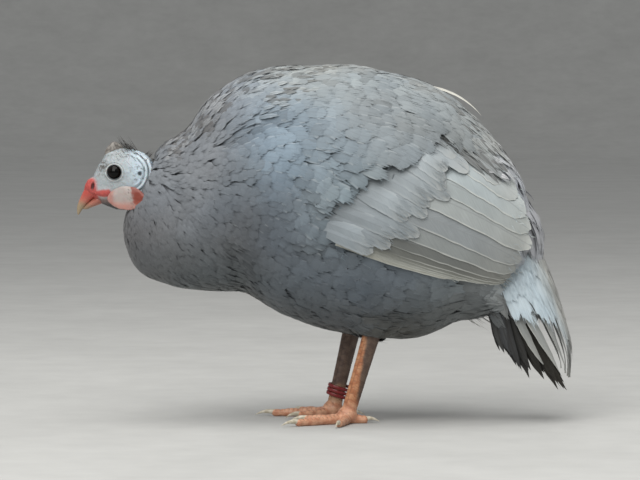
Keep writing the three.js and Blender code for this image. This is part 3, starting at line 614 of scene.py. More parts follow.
# Greater coverts: the colour of the coat at their roots, bleached like the flight feathers at their ends.
COVERT_VANE = plumage("feather_keratin_covert_vane", "#c3c8ca", 0.2, "#5c6064", 0.14, 0.24, roughness=0.58,
                      bleach=0.3)
# Soot-dark coverts under the tail, their tips worn to points.
SOOTY_VANE = plumage("feather_keratin_sooty_worn", "#4a4945", 0.15, "#2c2a26", 0.4, 0.5, down_and_shade_at_root=0.8)
# Hair-like bristles of the crown and nape: black keratin filaments.
BRISTLE = flesh("bristle_keratin_black", 1.5, 0.05, 0.5, colour="#2b2825")
# Skin under the coat: down-grey, darkened further as painted shade, seen only as the dark between feathers.
UNDER_SKIN = flesh("skin_grey_down_and_painted_gap_shade", 3.0, 0.4, 0.9, sheen=0.2)
BARE_SKIN = flesh("bare_skin_horny_wrinkled", 1.1, 0.22, 0.52, scatter=0.12)
WATTLE_SKIN = flesh("wattle_skin_waxy", 1.6, 0.12, 0.42, coat=0.15, scatter=0.15)
CASQUE_HORN = flesh("casque_bone_horn_covered", 1.3, 0.25, 0.55)
BILL_HORN = flesh("bill_keratin_layered", 1.6, 0.1, 0.36, coat=0.2)
LEG_SCALES = flesh("leg_scute_keratin", 1.4, 0.12, 0.48, coat=0.08)
CLAW_HORN = flesh("claw_keratin_translucent", 1.8, 0.08, 0.34, coat=0.2)


PUPIL, IRIS = 3.5, 5.0  # their radii


def eye_material():
    """Wet cornea over a dark brown iris: near black, with sharp highlights."""
    def build(add):
        place = add("TexCoord").outputs["Object"]
        split = add("SeparateXYZ", [place])
        middle = (0, EYE_AT[0]), (2, EYE_AT[1])
        x, z = (add("Math", [split.outputs[i], c * MM], operation="SUBTRACT") for i, c in middle)
        across = add("VectorMath", [add("CombineXYZ", [x, z])], operation="LENGTH")
        away = add("Math", [across, 1 / MM], operation="MULTIPLY")
        spokes = add("TexNoise", {"Vector": place, "Scale": 1400.0})
        iris = add("Mix", [spokes, linear("#060403"), linear("#150d09")], data_type="RGBA")
        pupil = add("MapRange", [away, PUPIL - 0.2, PUPIL + 0.2], **EASED)
        colour = add("Mix", [pupil, linear("#030303"), iris], data_type="RGBA")
        white = add("MapRange", [away, IRIS - 0.3, IRIS + 0.3], **EASED)
        colour = add("Mix", [white, colour, linear("#0d0b0a")], data_type="RGBA")
        return add("BsdfPrincipled", {
            "Base Color": colour, "Roughness": 0.1, "Coat Weight": 0.1, "Coat Roughness": 0.05,
            "Specular IOR Level": 0.2, "IOR": 1.38,
        })
    return material("eye_cornea_wet", build)


def ring_material():
    """Celluloid strip, wound and set: dark red, slightly glossy, scuffed dull in small random patches."""
    def build(add):
        scuff = add("TexNoise", {"Vector": add("TexCoord").outputs["Object"], "Scale": 900.0, "Detail": 4.0})
        worn_off = add("MapRange", [scuff, 0.55, 0.75], **EASED)
        return add("BsdfPrincipled", {
            "Base Color": add("Mix", [worn_off, linear("#7c1d20"), linear("#93403c")], data_type="RGBA"),
            "Roughness": add("Math", [scuff, 0.3, 0.2], operation="MULTIPLY_ADD"),
            "Normal": add("Bump", {"Strength": 0.3, "Distance": 0.0001, "Height": scuff}),
            "Coat Weight": 0.2,
        })
    return material("ring_celluloid_wound", build)


# The skin under the coat.

WING_FLESH_SHARE = 0.34  # how much of the closed wing's depth is flesh


def wing_flesh(side):
    def place(t, angle):
        k = t * wing_outline.last
        low, top = wing_outline.lower(k), wing_outline.upper(k)
        at = low + (top - low) * ((1 + np.cos(angle)) / 2)[:, None]
        swell = np.sin(angle) * between_poles(t)
        deep = wing_outline.half(k) * np.where(swell > 0, WING_FLESH_SHARE, 1)
        return joined(at[:, 0], side * (trunk.flank(at[:, 0], at[:, 1]) + deep * swell), at[:, 1])
    return rounded(40, 40, place)


def tail_flesh():
    end, depth, under = 0.5, 6, 0.35

    def place(t, angle):
        shrink = np.minimum(1, 2.2 * np.sqrt(np.clip(t * (1 - t), 0, 1)))
        c, s = np.cos(angle) * shrink, np.sin(angle) * shrink
        top, low, half = dome_lines(t * end)
        up = top - low
        tall = np.linalg.norm(up, axis=-1)
        at = low + unit(up) * ((tall - depth) * c * np.where(c > 0, 1, under))[:, None]
        return joined(at[:, 0], (half - depth) * s, at[:, 1])
    return rounded(32, 24, place)


def dome_lines(t):
    at = through(TAIL_DOME, t)
    return at[..., 0:2], at[..., 2:4], at[..., 4]


def dome(t, v, height):
    """A point of the tail's dome: t from root to tip, v from the ridge at 0 to a side at 1 or -1."""
    top, low, half = dome_lines(t)
    c, s = np.cos(v * math.pi / 2), np.sin(v * math.pi / 2)
    up = top - low
    at = low + up * c[..., None] + unit(up) * (height * c)[..., None]
    return joined(at[..., 0], (half + height) * s, at[..., 1])


def limb(stations, around, rows):
    """A limb between stations of x, y, z, half its depth along X and half its width along Y."""
    line = np.array(stations, float)

    def place(t, angle):
        at = through(line, t)
        end = between_poles(t)
        x = at[:, 0] + end * at[:, 3] * np.cos(angle)
        return joined(x, at[:, 1] + end * at[:, 4] * np.sin(angle), at[:, 2])
    return rounded(around, rows, place)


def thigh(name):
    out, (x, z) = LEGS[name]["out"], LEGS[name]["hock"]
    stations = [
        (x + 14, out + 12, z + 70, 0, 0), (x + 10, out + 13, z + 48, 25, 20),
        (x + 5, out + 8, z + 12, 24, 19), (x - 2, out + 1, z - 12, 14, 12), (x - 4, out, z - 23, 0, 0),
    ]
    return mirrored(limb(stations, 24, 20), SIDES[name])


coat_at = np.array([row[1:3] for row in COAT], float)
coat_lie = np.radians([row[3] for row in COAT])
coat_sizes = np.array([row[4:7] for row in COAT], float)
coat_tints = np.array([linear(PLUMAGE[row[7]]) for row in COAT])
coat_names = np.array([row[0] for row in COAT])


def coat_shares(at):
    """How much each row of the coat counts at places of the body."""
    d = ((at[:, None, ::2] - coat_at[None]) ** 2).sum(-1) / (2 * COAT_REACH ** 2)
    w = np.exp(d.min(1, keepdims=True) - d)
    return w / w.sum(1, keepdims=True)


def markings(at):
    """The coat's colour at places of the body, for the skin and for the feathers."""
    return coat_shares(at) @ coat_tints


SKIN_VOXEL, SKIN_SMOOTHING = 3.2, 8
DOWN_AND_GAP_SHADE = 0.8  # the skin shows between feathers, a little darker than they are: grey down, and painted shade in the gaps

thighs_and_wings = [form for name, side in SIDES.items() for form in (wing_flesh(side), thigh(name))]
skin = fused([rounded(64, 48, trunk.point), tail_flesh(), *thighs_and_wings], SKIN_VOXEL, SKIN_SMOOTHING)
skin_x, _, skin_z = places(skin).T
# the coat is thinner on the neck and under the root of the tail
thin = np.maximum(smoothstep(150, 175, skin_x) * smoothstep(150, 120, skin_z), smoothstep(-120, -165, skin_x))
moved(skin, -COAT_DEPTH * (1 - 0.4 * thin))
bmesh.ops.triangulate(skin, faces=skin.faces)
skin.normal_update()
skin_tree = BVHTree.FromBMesh(skin)
skin_corners = np.array([[v.co[:] for v in f.verts] for f in skin.faces]) / MM
skin_normals = np.array([[v.normal[:] for v in f.verts] for f in skin.faces])
coloured(skin, markings(places(skin)) * DOWN_AND_GAP_SHADE)
piece("body_skin", skin, UNDER_SKIN, "plumage", "torso", "neck", "thigh_left", "thigh_right")


def on_skin(at):
    """The nearest places of the skin, and its smooth normals there."""
    found = [skin_tree.find_nearest(Vector(p * MM)) for p in at]
    place, face = np.array([f[0] for f in found]) / MM, np.array([f[2] for f in found])
    a, b, c = skin_corners[face].transpose(1, 0, 2)
    across = np.cross(b - a, c - a)
    area = (across ** 2).sum(-1)
    u = (np.cross(c - b, place - b) * across).sum(-1) / area
    v = (np.cross(a - c, place - c) * across).sum(-1) / area
    shares = joined(u, v, 1 - u - v)[..., None]
    return place, unit((skin_normals[face] * shares).sum(1))


# The coat.

def spread(spacing_of, tries, rng):
    """Places on the skin that keep their own spacing apart, in random order."""
    a, b, c = skin_corners.transpose(1, 0, 2)
    area = np.linalg.norm(np.cross(b - a, c - a), axis=-1) / 2
    spacing = spacing_of((a + b + c) / 3)
    chance = area / spacing ** 2
    picked = rng.choice(len(area), tries, p=chance / chance.sum())
    u, v = rng.random(tries), rng.random(tries)
    over = u + v > 1
    u, v = np.where(over, 1 - u, u)[:, None], np.where(over, 1 - v, v)[:, None]
    at = a[picked] + (b - a)[picked] * u + (c - a)[picked] * v
    apart, cell = spacing[picked], 3.0
    grid, kept = {}, []
    for i, (p, r) in enumerate(zip(at, apart)):
        reach = int(r // cell) + 1
        x, y, z = (int(q // cell) for q in p)
        near = (
            j for dx in range(-reach, reach + 1) for dy in range(-reach, reach + 1)
            for dz in range(-reach, reach + 1) for j in grid.get((x + dx, y + dy, z + dz), ())
        )
        if all(((at[j] - p) ** 2).sum() > r * r for j in near):
            grid.setdefault((x, y, z), []).append(i)
            kept.append(i)
    return at[kept]


# Two lines bound the open part of the wing in the side view: the tips of the greater coverts, and the lower
# edge of the feathers of the back. Both fall by this much for each millimetre, or rise by it.
OPEN_SLOPE, OPEN_STEEP = 0.54, 1.14


def behind_coverts(x, z):
    return (x + 5) * OPEN_SLOPE + 176 - z


def below_back(x, z):
    return 258 - (x - 60) * OPEN_SLOPE - z


def in_flight_zone(at):
    """Where the long feathers of the wing lie open, in the side view."""
    x, z = at[:, 0], at[:, 2]
    return (behind_coverts(x, z) > 0) & (below_back(x, z) > 0) & (z > 152 - 0.21 * x) & (x > 0) & (x < 176)


STYLES = {
    # piece: outline, rows, cup, sweep, ragged, frayed, spacing, material, free barbs on each, where on the
    # feather they begin, how long they are as a share of it, and how wide as a share of its width
    "neck": (SOFT, 6, 0.07, 0.6, 0.2, 0.1, 0.34, SOFT_DOWN, 7, 0.3, 1.0, 0.2),
    "mantle": (HACKLE, 7, 0.07, 0.5, 0.2, 0.06, 0.34, HACKLE_VANE, 6, 0.45, 0.6, 0.2),
    "breast": (SOFT, 7, 0.06, 0.5, 0.2, 0.08, 0.33, SOFT_DOWN, 11, 0.45, 0.6, 0.1),
    "back": (BROAD, 8, 0.06, 0.45, 0.08, 0.04, 0.33, CLOSED_VANE, 10, 0.62, 0.44, 0.09),
    "rump": (BROAD, 8, 0.06, 0.45, 0.12, 0.06, 0.3, CLOSED_VANE, 9, 0.55, 0.5, 0.1),
    "flank": (SOFT, 7, 0.06, 0.6, 0.2, 0.08, 0.33, SOFT_DOWN, 11, 0.5, 0.55, 0.1),
    "belly": (SOFT, 7, 0.06, 0.6, 0.2, 0.1, 0.33, SOFT_DOWN, 11, 0.45, 0.6, 0.1),
    "vent": (SOFT, 7, 0.06, 0.6, 0.2, 0.1, 0.33, SOFT_DOWN, 11, 0.45, 0.6, 0.1),
}
# Folds between masses of feathers: places along each in the side view, and how deep the coat sinks there,
# which also darkens its colour as painted shade.
FOLDS = [
    ([(-86, 234), (-74, 242), (-51, 256)], 3.2), ([(-51, 256), (-34, 250), (-20, 252)], 1.8),
    ([(-31, 209), (-14, 187), (-2, 178)], 2.4), ([(-3, 226), (20, 200), (52, 195)], 2.6),
    ([(-77, 149), (-71, 120)], 3.4), ([(109, 126), (113, 108), (110, 86)], 3.6),
    ([(-112, 175), (-96, 150)], 1.6), ([(-40, 150), (4, 148)], 1.8), ([(18, 118), (30, 96)], 1.6),
    ([(60, 118), (72, 98)], 1.4), ([(-134, 214), (-128, 196)], 1.6),
]


FOLD_BREADTH = 6


def from_line(at, a, b):
    """How far places lie from the line between two places of the side view."""
    run = np.subtract(b, a).astype(float)
    along = np.clip(((at[:, ::2] - a) @ run) / (run @ run), 0, 1)
    return np.linalg.norm(at[:, ::2] - a - along[:, None] * run, axis=1)


def folded(at):
    """How deep the coat sinks into its folds at places of the body."""
    sunk = np.zeros(len(at))
    for line, depth in FOLDS:
        for a, b in zip(line[:-1], line[1:]):
            sunk = np.maximum(sunk, depth * np.exp(-(from_line(at, a, b) / FOLD_BREADTH) ** 2))
    return sunk


UNDER_WING = -2.5  # how high the coat lies under the open part of the wing


def coat_height(at, level):
    """How high feathers lie over the skin at places, level being their share of the coat's depth."""
    lift = (coat_shares(at) @ coat_sizes)[:, 2]
    lift = np.where(in_flight_zone(at), UNDER_WING, lift)
    thin = smoothstep(-125, -160, at[:, 0])
    return level * COAT_DEPTH * (1 - 0.45 * thin) + lift - folded(at) + 1.1 * bumps(at, 21, 4) * (1 - thin)


def lay(root, length, angle_spread, levels, uneven, rng):
    """Path and upward directions for feathers that lie with the coat, from their roots on the skin."""
    n = len(root)
    shares = coat_shares(root)
    angle = np.arctan2(shares @ np.sin(coat_lie), shares @ np.cos(coat_lie))
    angle = angle + 0.25 * bumps(root, 17, 8) + angle_spread * rng.standard_normal(n)
    aim = joined(np.cos(angle), angle_spread * rng.standard_normal(n), np.sin(angle))
    root, up = on_skin(root)
    aim = unit(aim - up * (aim * up).sum(-1, keepdims=True))
    whim = rng.standard_normal(n) * uneven
    path, ups = [root + up * np.maximum(-0.5, coat_height(root, levels[0]))[:, None]], [up]
    for share, level in ((0.5, levels[1]), (1.0, levels[2])):
        at, normal = on_skin(root + aim * (length * share)[:, None])
        path.append(at + normal * np.maximum(0.4, coat_height(at, level) + whim)[:, None])
        ups.append(normal)
    runs = path[1] - path[0], path[2] - path[1]
    bend = (unit(runs[0]) * unit(runs[1])).sum(-1)
    whole = (bend > 0.72) & (np.linalg.norm(path[2] - path[0], axis=-1) > 0.7 * length)
    return path, ups, whole


def coat_spacing(at):
    shares = coat_shares(at)
    length, width = (shares @ coat_sizes)[:, :2].T
    factor = np.array([STYLES[name][6] for name in coat_names])
    return (shares @ factor) * np.sqrt(length * width)


def covered(root, rng):
    """Places under the head or under the long feathers of the wing, where most of the coat is left out."""
    in_head = np.abs(root[:, 1]) < head.flank(root[:, 0], root[:, 2]) + 0.5
    return in_head | in_flight_zone(root) & (np.abs(root[:, 1]) > 20) & (rng.random(len(root)) > 0.3)


def shaded(at):
    """The coat's colour at places: darker in its folds as painted shade, lighter where its lumps rise and
    darker where they sink as painted light and shade, and a little uneven from mass to mass.
    """
    # painted shade in the folds, and painted light and shade on the lumps that coat_height raises with the
    # same 21 mm bumps; the 10 mm bumps and the blue are uneven tone
    light = 1 - 0.09 * folded(at) + 0.13 * bumps(at, 21, 4) + 0.07 * bumps(at, 10, 6)
    blue = 0.05 * bumps(at, 30, 15)
    return markings(at) * light[:, None] * joined(1 - blue, 1, 1 + blue)


# The ridge of the mantle, which carries the worn hackles: places in the side view, and how far they reach
# from it.
MANTLE = [(-136, 240, 17), (-118, 255, 19), (-97, 277, 18), (-67, 296, 13), (-30, 303, 8), (10, 303, 5)]


def hackled(at):
    """How far within the mantle's band places are, from 0 to 1."""
    share = np.zeros(len(at))
    for (*a, wide), (*b, _) in zip(MANTLE[:-1], MANTLE[1:]):
        share = np.maximum(share, smoothstep(wide + 4, wide - 4, from_line(at, a, b)))
    return share


def group_of(at, rng):
    """The group of each feather, drawn by lot where groups meet."""
    shares = coat_shares(at)
    drawn = (shares.cumsum(1) > rng.random((len(at), 1))).argmax(1)
    name = coat_names[np.minimum(drawn, len(COAT) - 1)].astype(object)
    name[name == "mantle"] = "back"
    name[rng.random(len(at)) < hackled(at)] = "mantle"
    return name


DARK_WEAR, PALE_WEAR = np.array((0.66, 0.63, 0.6)), np.array((1.3, 1.27, 1.22))


def worn(at, tint, rng):
    """Darkens some of the feathers of the mantle and of the back's ridge, and bleaches others."""
    mantle = hackled(at)
    chance = np.maximum(0.42 * mantle, 0.3 * smoothstep(262, 292, at[:, 2]) * smoothstep(-40, 0, at[:, 0]))
    lot, strong = rng.random(len(at)), (0.5 + 0.5 * mantle)[:, None]
    tint = np.where((lot < chance)[:, None], tint * mixed(1, DARK_WEAR, strong), tint)
    return np.where((lot > 1 - 0.7 * chance)[:, None], tint * mixed(1, PALE_WEAR, strong), tint)


def on_vane(path, side, half, share, aside):
    """Places on feathers along path: share from root to tip, or past it, and aside from -1 to 1 across."""
    a, b, c = path
    aim = 2 * b - (a + c) / 2
    s, past = np.minimum(share, 1)[:, None], np.maximum(share - 1, 0)[:, None]
    at = (1 - s) ** 2 * a + 2 * s * (1 - s) * aim + s ** 2 * c + past * 2 * (c - aim)
    return at + side * (aside * half)[:, None]


def loose_barbs(name, path, ups, width, tint, told, rng, slot="plumage"):
    """A piece with the loose barbs at the ends of feathers. told says how many each has, where on it they
    begin, how long they are as a share of it, and how wide as a share of its width."""
    count, start, long, wide = told
    n = len(width)
    side = unit(np.cross(path[2] - path[0], ups[2]))
    every = np.repeat(np.arange(n), count)
    path, side, up = [p[every] for p in path], side[every], ups[2][every]
    aside = np.tile(np.linspace(-0.82, 0.82, count), n) + 0.12 * rng.standard_normal(n * count)
    begin = start + 0.2 * (rng.random(n * count) - 0.5) - 0.1 * aside ** 2
    end = begin + long * (0.75 + 0.5 * rng.random(n * count)) * (1 - 0.25 * aside ** 2)
    half = width[every] / 2 * 0.9
    drawn = []
    for part, lift in ((0, -0.02), (0.5, 0.07), (1, -0.16)):
        fan = aside * (1 + 0.22 * part) + 0.06 * part * rng.standard_normal(n * count)
        drawn.append(on_vane(path, side, half, mixed(begin, end, part), fan) + up * lift)
    shade = 0.96 + 0.1 * rng.random((n * count, 1))
    width = wide * width[every] * (0.75 + 0.5 * rng.random(n * count))
    tint = tint[every] * shade
    bent_blades(name, drawn, [up] * 3, width, tint, LOOSE_BARBS, rng, STRAND, 4, "strand", slot=slot)


def lay_coat():
    rng = np.random.default_rng(11)
    root = spread(coat_spacing, 90000, rng)
    root = root[~covered(root, rng)]
    length, width, _ = (coat_shares(root) @ coat_sizes).T
    name = group_of(root, rng)
    n = len(root)
    length = length * (0.85 + 0.3 * rng.random(n))
    width = width * (0.85 + 0.3 * rng.random(n))
    path, ups, whole = lay(root, length, 0.1, (0.1, 0.9, 1.0), 0.09, rng)
    tint = worn(root, shaded(root) * (0.97 + 0.06 * rng.random((n, 1))), rng)
    for label, (shape, rows, cup, sweep, ragged, frayed, _, stuff, *told) in STYLES.items():
        mine = (name == label) & whole
        columns = "narrow" if label in ("neck", "mantle") else "broad"
        drawn = [p[mine] for p in path], [u[mine] for u in ups], width[mine], tint[mine]
        bent_blades("coat_" + label, *drawn, stuff, rng, shape, rows, columns, cup, sweep, ragged, frayed,
                    droop=0.35)
        loose_barbs("barbs_" + label, *drawn, told, rng)


lay_coat()


# Long feathers of the wing in the side view: root, tip, how far the middle bows up, width, how high the tip
# lies over the wing, and its colour.
WING_FEATHERS = {
    "primaries": [
        ((8, 156), (112, 126.5), 0, 11, 2.4, "#b1b2a9"), ((12, 158), (127, 124.5), 0, 12, 2.8, "#a8aaa3"),
        ((15, 160), (141, 122), 0, 13, 3.2, "#93958f"), ((17, 162), (152, 121), 0, 14, 3.7, "#868882"),
    ],
    "secondaries": [
        # the two lowest are darker, as painted shadow along the band above the wing's lower edge
        ((12, 167), (154, 123.5), 1, 17, 4.3, "#6e706c"), ((14, 174), (157, 126), 2, 19, 4.9, "#747775"),
        ((17, 186), (161, 131.5), 3, 23, 5.6, "#929797"), ((27, 199), (166, 139), 4, 24, 6.4, "#969c9f"),
        ((38, 215), (175, 151), 5, 25, 7.1, "#aab0b0"),
    ],
    "tertials": [
        ((50, 226), (174, 165), 6, 24, 7.7, "#aab2b3"), ((58, 237), (170, 178), 7, 24, 8.2, "#b0babd"),
        ((64, 247), (163, 193), 7, 23, 8.7, "#a9b2b4"), ((74, 254), (150, 206), 6, 20, 9.2, "#a3acaf"),
    ],
}
# The greater coverts, from the lowest to the highest: root, tip, bow, width, lift and colour of both.
COVERT_ENDS = (
    ((-12, 170), (36, 153), 1, 14, 5.4, "#8d969c"), ((68, 255), (112, 229), 3, 14, 10.4, "#9aa2a6"),
)
COVERT_COUNT = 17


COVERT_BULGE, COVERT_RUN = np.array((9, -9)), np.array((0.9, -0.4))


def between_coverts(rng):
    """The greater coverts, from one of the two that are told to the other."""
    rows = []
    for share in np.linspace(0, 1, COVERT_COUNT):
        pairs = zip(*(row[:5] for row in COVERT_ENDS))
        root, tip, *numbers = (mixed(np.array(a), np.array(b), share) for a, b in pairs)
        colour = mixed(*(linear(row[5]) for row in COVERT_ENDS), share) * (0.92 + 0.16 * rng.random())
        tip = tip + COVERT_BULGE * math.sin(math.pi * share) + rng.normal(0, 1.5, 2)
        rows.append((root, tip + rng.normal(0, 5) * COVERT_RUN, *numbers, colour))
    return rows


CLEAR_OF_TAIL, RUN_IN, WING_SWELL = 29, 2.5, 0.45


def wing_side(x, z):
    """How far out the side of the wing lies. Past the trunk's edge it goes on flat, and clear of the tail,
    and the two run into one another over some millimetres."""
    inside, clear = trunk.flank(x, z, most=0.86, end=13.2), CLEAR_OF_TAIL * smoothstep(105, 165, x)
    return RUN_IN * np.logaddexp(inside / RUN_IN, clear / RUN_IN) + WING_SWELL * wing_outline.flank(x, z)


def facing(grid, across, outward):
    """The grid with its columns turned round if its upper faces don't look outwards."""
    side = grid[:, :, -1] - grid[:, :, 0]
    forward = np.gradient(grid[:, :, grid.shape[2] // 2], axis=1)
    if (np.cross(side, forward) * outward).sum() < 0:
        return grid[:, :, ::-1], tuple(across)[::-1]
    return grid, tuple(across)


WING_ROWS = 22
SHAFT_RISE = 0.2


def wing_grid(told, rng, covert):
    """Blades that lie on the right wing as told, their roots under the feathers before them."""
    rows, across = WING_ROWS, np.array(COLUMNS["shafted"])
    t = 1 - (1 - np.linspace(0, 1, rows)[None, :, None]) ** 1.3
    root, tip = (np.array([f[i] for f in told], float) for i in (0, 1))
    bow, width, lift = (np.array([f[i] for f in told], float)[:, None, None] for i in (2, 3, 4))
    run = tip - root
    normal = unit(joined(-run[:, 1], run[:, 0]))
    length = np.linalg.norm(run, axis=-1)[:, None, None]
    profile = np.interp(t, *np.array(LONG).T)
    count = len(told)
    nicks = 1 - 0.09 * rng.random((count, rows, len(across))) * (np.abs(across) > 0.7)
    ahead = 0.3 * width / 2 * profile * np.abs(across) * (1 - t ** 3)
    fringe = (rng.random((count, 1, len(across))) - 0.6) * (1 - across ** 2) - 0.5 * across ** 2
    along = t + (ahead + (1.2 if covert else 2.2) * smoothstep(0.8, 1, t) * fringe) / length * (t > 0)
    aside = 4 * t * (1 - t) * bow + across * width / 2 * profile * nicks
    x, z = (a[:, None, None] + b[:, None, None] * along + c[:, None, None] * aside
            for a, b, c in zip(root.T, run.T, normal.T))
    shown = smoothstep(0, 0.7, t) if covert else smoothstep(-8, 26, behind_coverts(x, z) / OPEN_STEEP)
    shown = shown * smoothstep(-4, 13, below_back(x, z) / OPEN_STEEP)
    height = mixed((-3.2 if covert else -9) + 0.35 * lift, lift, shown)
    height = height - across * 0.4 + SHAFT_RISE * (np.abs(across) < 0.1) - 0.25 * across ** 2 + 0.3
    return joined(x, wing_side(x, z) + height, z)


def shaft_places(grid):
    """The root, the middle and the tip of each feather."""
    return [grid[:, row, grid.shape[2] // 2] for row in (0, grid.shape[1] // 2, -1)]


def lay_wings():
    rng = np.random.default_rng(9)
    coverts = between_coverts(rng)
    for label, told in (*WING_FEATHERS.items(), ("greater_coverts", coverts)):
        covert = told is coverts
        right = wing_grid(told, rng, covert)
        wide = np.array([f[3] for f in told])
        tint = np.array([f[5] if covert else linear(f[5]) for f in told])
        # loose barbs: along the ends of the coverts, and as pale wisps past the tips of the long feathers
        stray, paler = ((12, 0.72, 0.24, 0.05), 1) if covert else ((9, 0.93, 0.07, 0.035), 1.3)
        for name, side in SIDES.items():
            grid, across = facing(right * (1, side, 1), COLUMNS["shafted"], np.array([0, side, 0]))
            feathers(label + "_" + name, grid, across, tint, COVERT_VANE if covert else FLIGHT_VANE,
                     "flight_feathers", *(["wing_" + name] if label == "secondaries" else []))
            up = np.tile((0.0, side, 0.2), (len(told), 1))
            drawn = shaft_places(grid), [up] * 3, wide, tint * paler
            loose_barbs(label + "_barbs_" + name, *drawn, stray, rng, "flight_feathers")


lay_wings()


# The tail.

def dome_vanes(along, around, wide, lift, sink, risen, shingle, rng, rows, across, shape, ragged, frayed=0.0):
    """Feathers on the dome. along and around hold the root's and the tip's place for each, wide half its
    width as a share of the dome. Column -1 is the outer side."""
    n, u = len(wide), np.array(across)
    t = np.linspace(0, 1, rows)[None, :, None]
    col = lambda a: np.asarray(a, float)[:, None, None]
    outward = np.where(around[:, 1] >= 0, 1, -1)[:, None, None]
    profile = np.interp(t, *np.array(shape).T)
    cut = 1 - ragged * rng.random((n, rows, len(u))) * (np.abs(u) > 0.5)
    at = mixed(col(along[:, 0]), col(along[:, 1]), t) + 0.02 * profile * np.abs(u) * (1 - t ** 3)
    fray = (rng.random((n, 1, len(u))) - 0.6) * (1 - u ** 2) - 0.7 * u ** 2
    at = at + frayed * smoothstep(0.7, 1, t) * fray
    v = mixed(col(around[:, 0]), col(around[:, 1]), t) - outward * u * col(wide) * profile * cut
    height = mixed(-col(sink), col(lift), smoothstep(0.05, risen, t)) - u * col(shingle) / 2
    height = height + 0.4 * (np.abs(u) < 0.1) - 0.5 * u ** 2
    return dome(at, v, height)


def tail_piece(name, grid, across, tint, stuff, *replaced):
    outward = grid[:, :, grid.shape[2] // 2].mean(1) - (120, 0, 80)
    turned = [facing(g[None], across, o) for g, o in zip(grid, outward)]
    for sign, part in ((-1, "left"), (1, "right")):
        mine = [i for i, (_, columns) in enumerate(turned) if columns[0] == sign]
        if mine:
            flat = np.concatenate([turned[i][0] for i in mine])
            feathers(name + "_" + part, flat, turned[mine[0]][1], tint[mine], stuff, "flight_feathers",
                     *(replaced if part == "left" else ()))


# Long tail feathers of one side: place round the dome at the root and at the tip, how far down the dome
# they end, half their width as a share of the dome, and how far under the first they lie.
RECTRICES = [
    (0.0, 0.0, 1.0, 0.1, 0), (0.25, 0.16, 1.03, 0.085, 0.8), (0.45, 0.36, 0.97, 0.08, 1.6),
    (0.62, 0.58, 0.94, 0.075, 2.4), (0.84, 0.86, 0.88, 0.085, 3.2), (0.9, 1.13, 0.73, 0.07, 4.2),
]
# Rows of coverts over them, from the shortest: where they begin and how long they are at the ridge as
# shares of the dome, how many, and how high they lie.
TAIL_COVERTS = [(0.0, 0.32, 24, 3.2), (0.05, 0.4, 24, 2.5), (0.1, 0.5, 22, 1.8), (0.16, 0.6, 22, 1.2)]


def lay_tail():
    rng = np.random.default_rng(3)
    for name, side in SIDES.items():
        told = np.array(RECTRICES[0 if side == LEFT else 1:])
        along = joined(0.14, told[:, 2])
        under = told[:, 4]
        grid = dome_vanes(along, told[:, :2] * side, told[:, 3], -0.75 * under, 8 + 0.5 * under, 0.42,
                          np.full(len(told), 2.2), rng, 20, COLUMNS["shafted"], RECTRIX, 0.14)
        tint = linear("#8b8e8c") * (0.85 + 0.3 * rng.random((len(told), 1)))
        stands_for = ["tail"] if side == LEFT else []
        tail_piece("tail_feathers_" + name, grid, COLUMNS["shafted"], tint, FLIGHT_VANE, *stands_for)
    rows = []
    for start, long, count, lift in TAIL_COVERTS:
        v = np.linspace(-1.0, 1.0, count) + 0.03 * rng.standard_normal(count)
        begin = start + 0.04 * rng.random(count)
        end = begin + long * (1 - 0.62 * np.abs(v)) * (0.88 + 0.24 * rng.random(count))
        rows.append(joined(begin, end, v, lift))
    begin, end, v, lift = np.concatenate(rows).T
    n = len(v)
    grid = dome_vanes(joined(begin, end), joined(v * 0.94, v), np.full(n, 0.07), lift, 1.5 + 0 * lift,
                      0.5, np.full(n, 0), rng, 14, COLUMNS["narrow"], ROUND, 0.1, 0.06)
    blue = smoothstep(0.15, 0.6, np.abs(v))[:, None]
    tint = mixed(linear("#bdbeba"), linear("#c0ced6"), blue) * (0.95 + 0.1 * rng.random((n, 1)))
    tint = np.where(rng.random((n, 1)) < 0.3 * (1 - blue), tint * 0.62, tint)
    tail_piece("tail_coverts", grid, COLUMNS["narrow"], tint, SOFT_DOWN)
    path, across = shaft_places(grid), grid[:, grid.shape[1] // 2, -1] - grid[:, grid.shape[1] // 2, 0]
    up = np.cross(across, path[2] - path[0])
    up = unit(up * np.sign((up * (path[1] - (150, 0, 90))).sum(-1))[:, None])
    loose_barbs("tail_covert_barbs", path, [up] * 3, np.full(n, 8.5), tint, (9, 0.7, 0.34, 0.07), rng,
                "flight_feathers")


lay_tail()

# Dark coverts under the tail, from the vent to their worn tips: root and tip in the side view, half the
# breadth of the row, how many, and their colour.
UNDER_TAIL = [
    ((130, 120), (150, 86), 18, 12, "#7b7f82"), ((136, 114), (155, 76), 18, 13, "#6d7173"),
    ((142, 108), (153, 60), 10, 8, "#484949"), ((148, 104), (160, 54), 16, 14, "#4b4d4f"),
    ((153, 100), (168, 43), 18, 16, "#3f4041"), ((157, 98), (177, 40), 20, 17, "#393938"),
    ((162, 96), (188, 37), 21, 17, "#34332f"), ((167, 95), (199, 31), 21, 16, "#302e29"),
    ((170, 95), (206, 27), 20, 12, "#2e2c26"),
]


UNDER_TAIL_WIDTH = 7.5


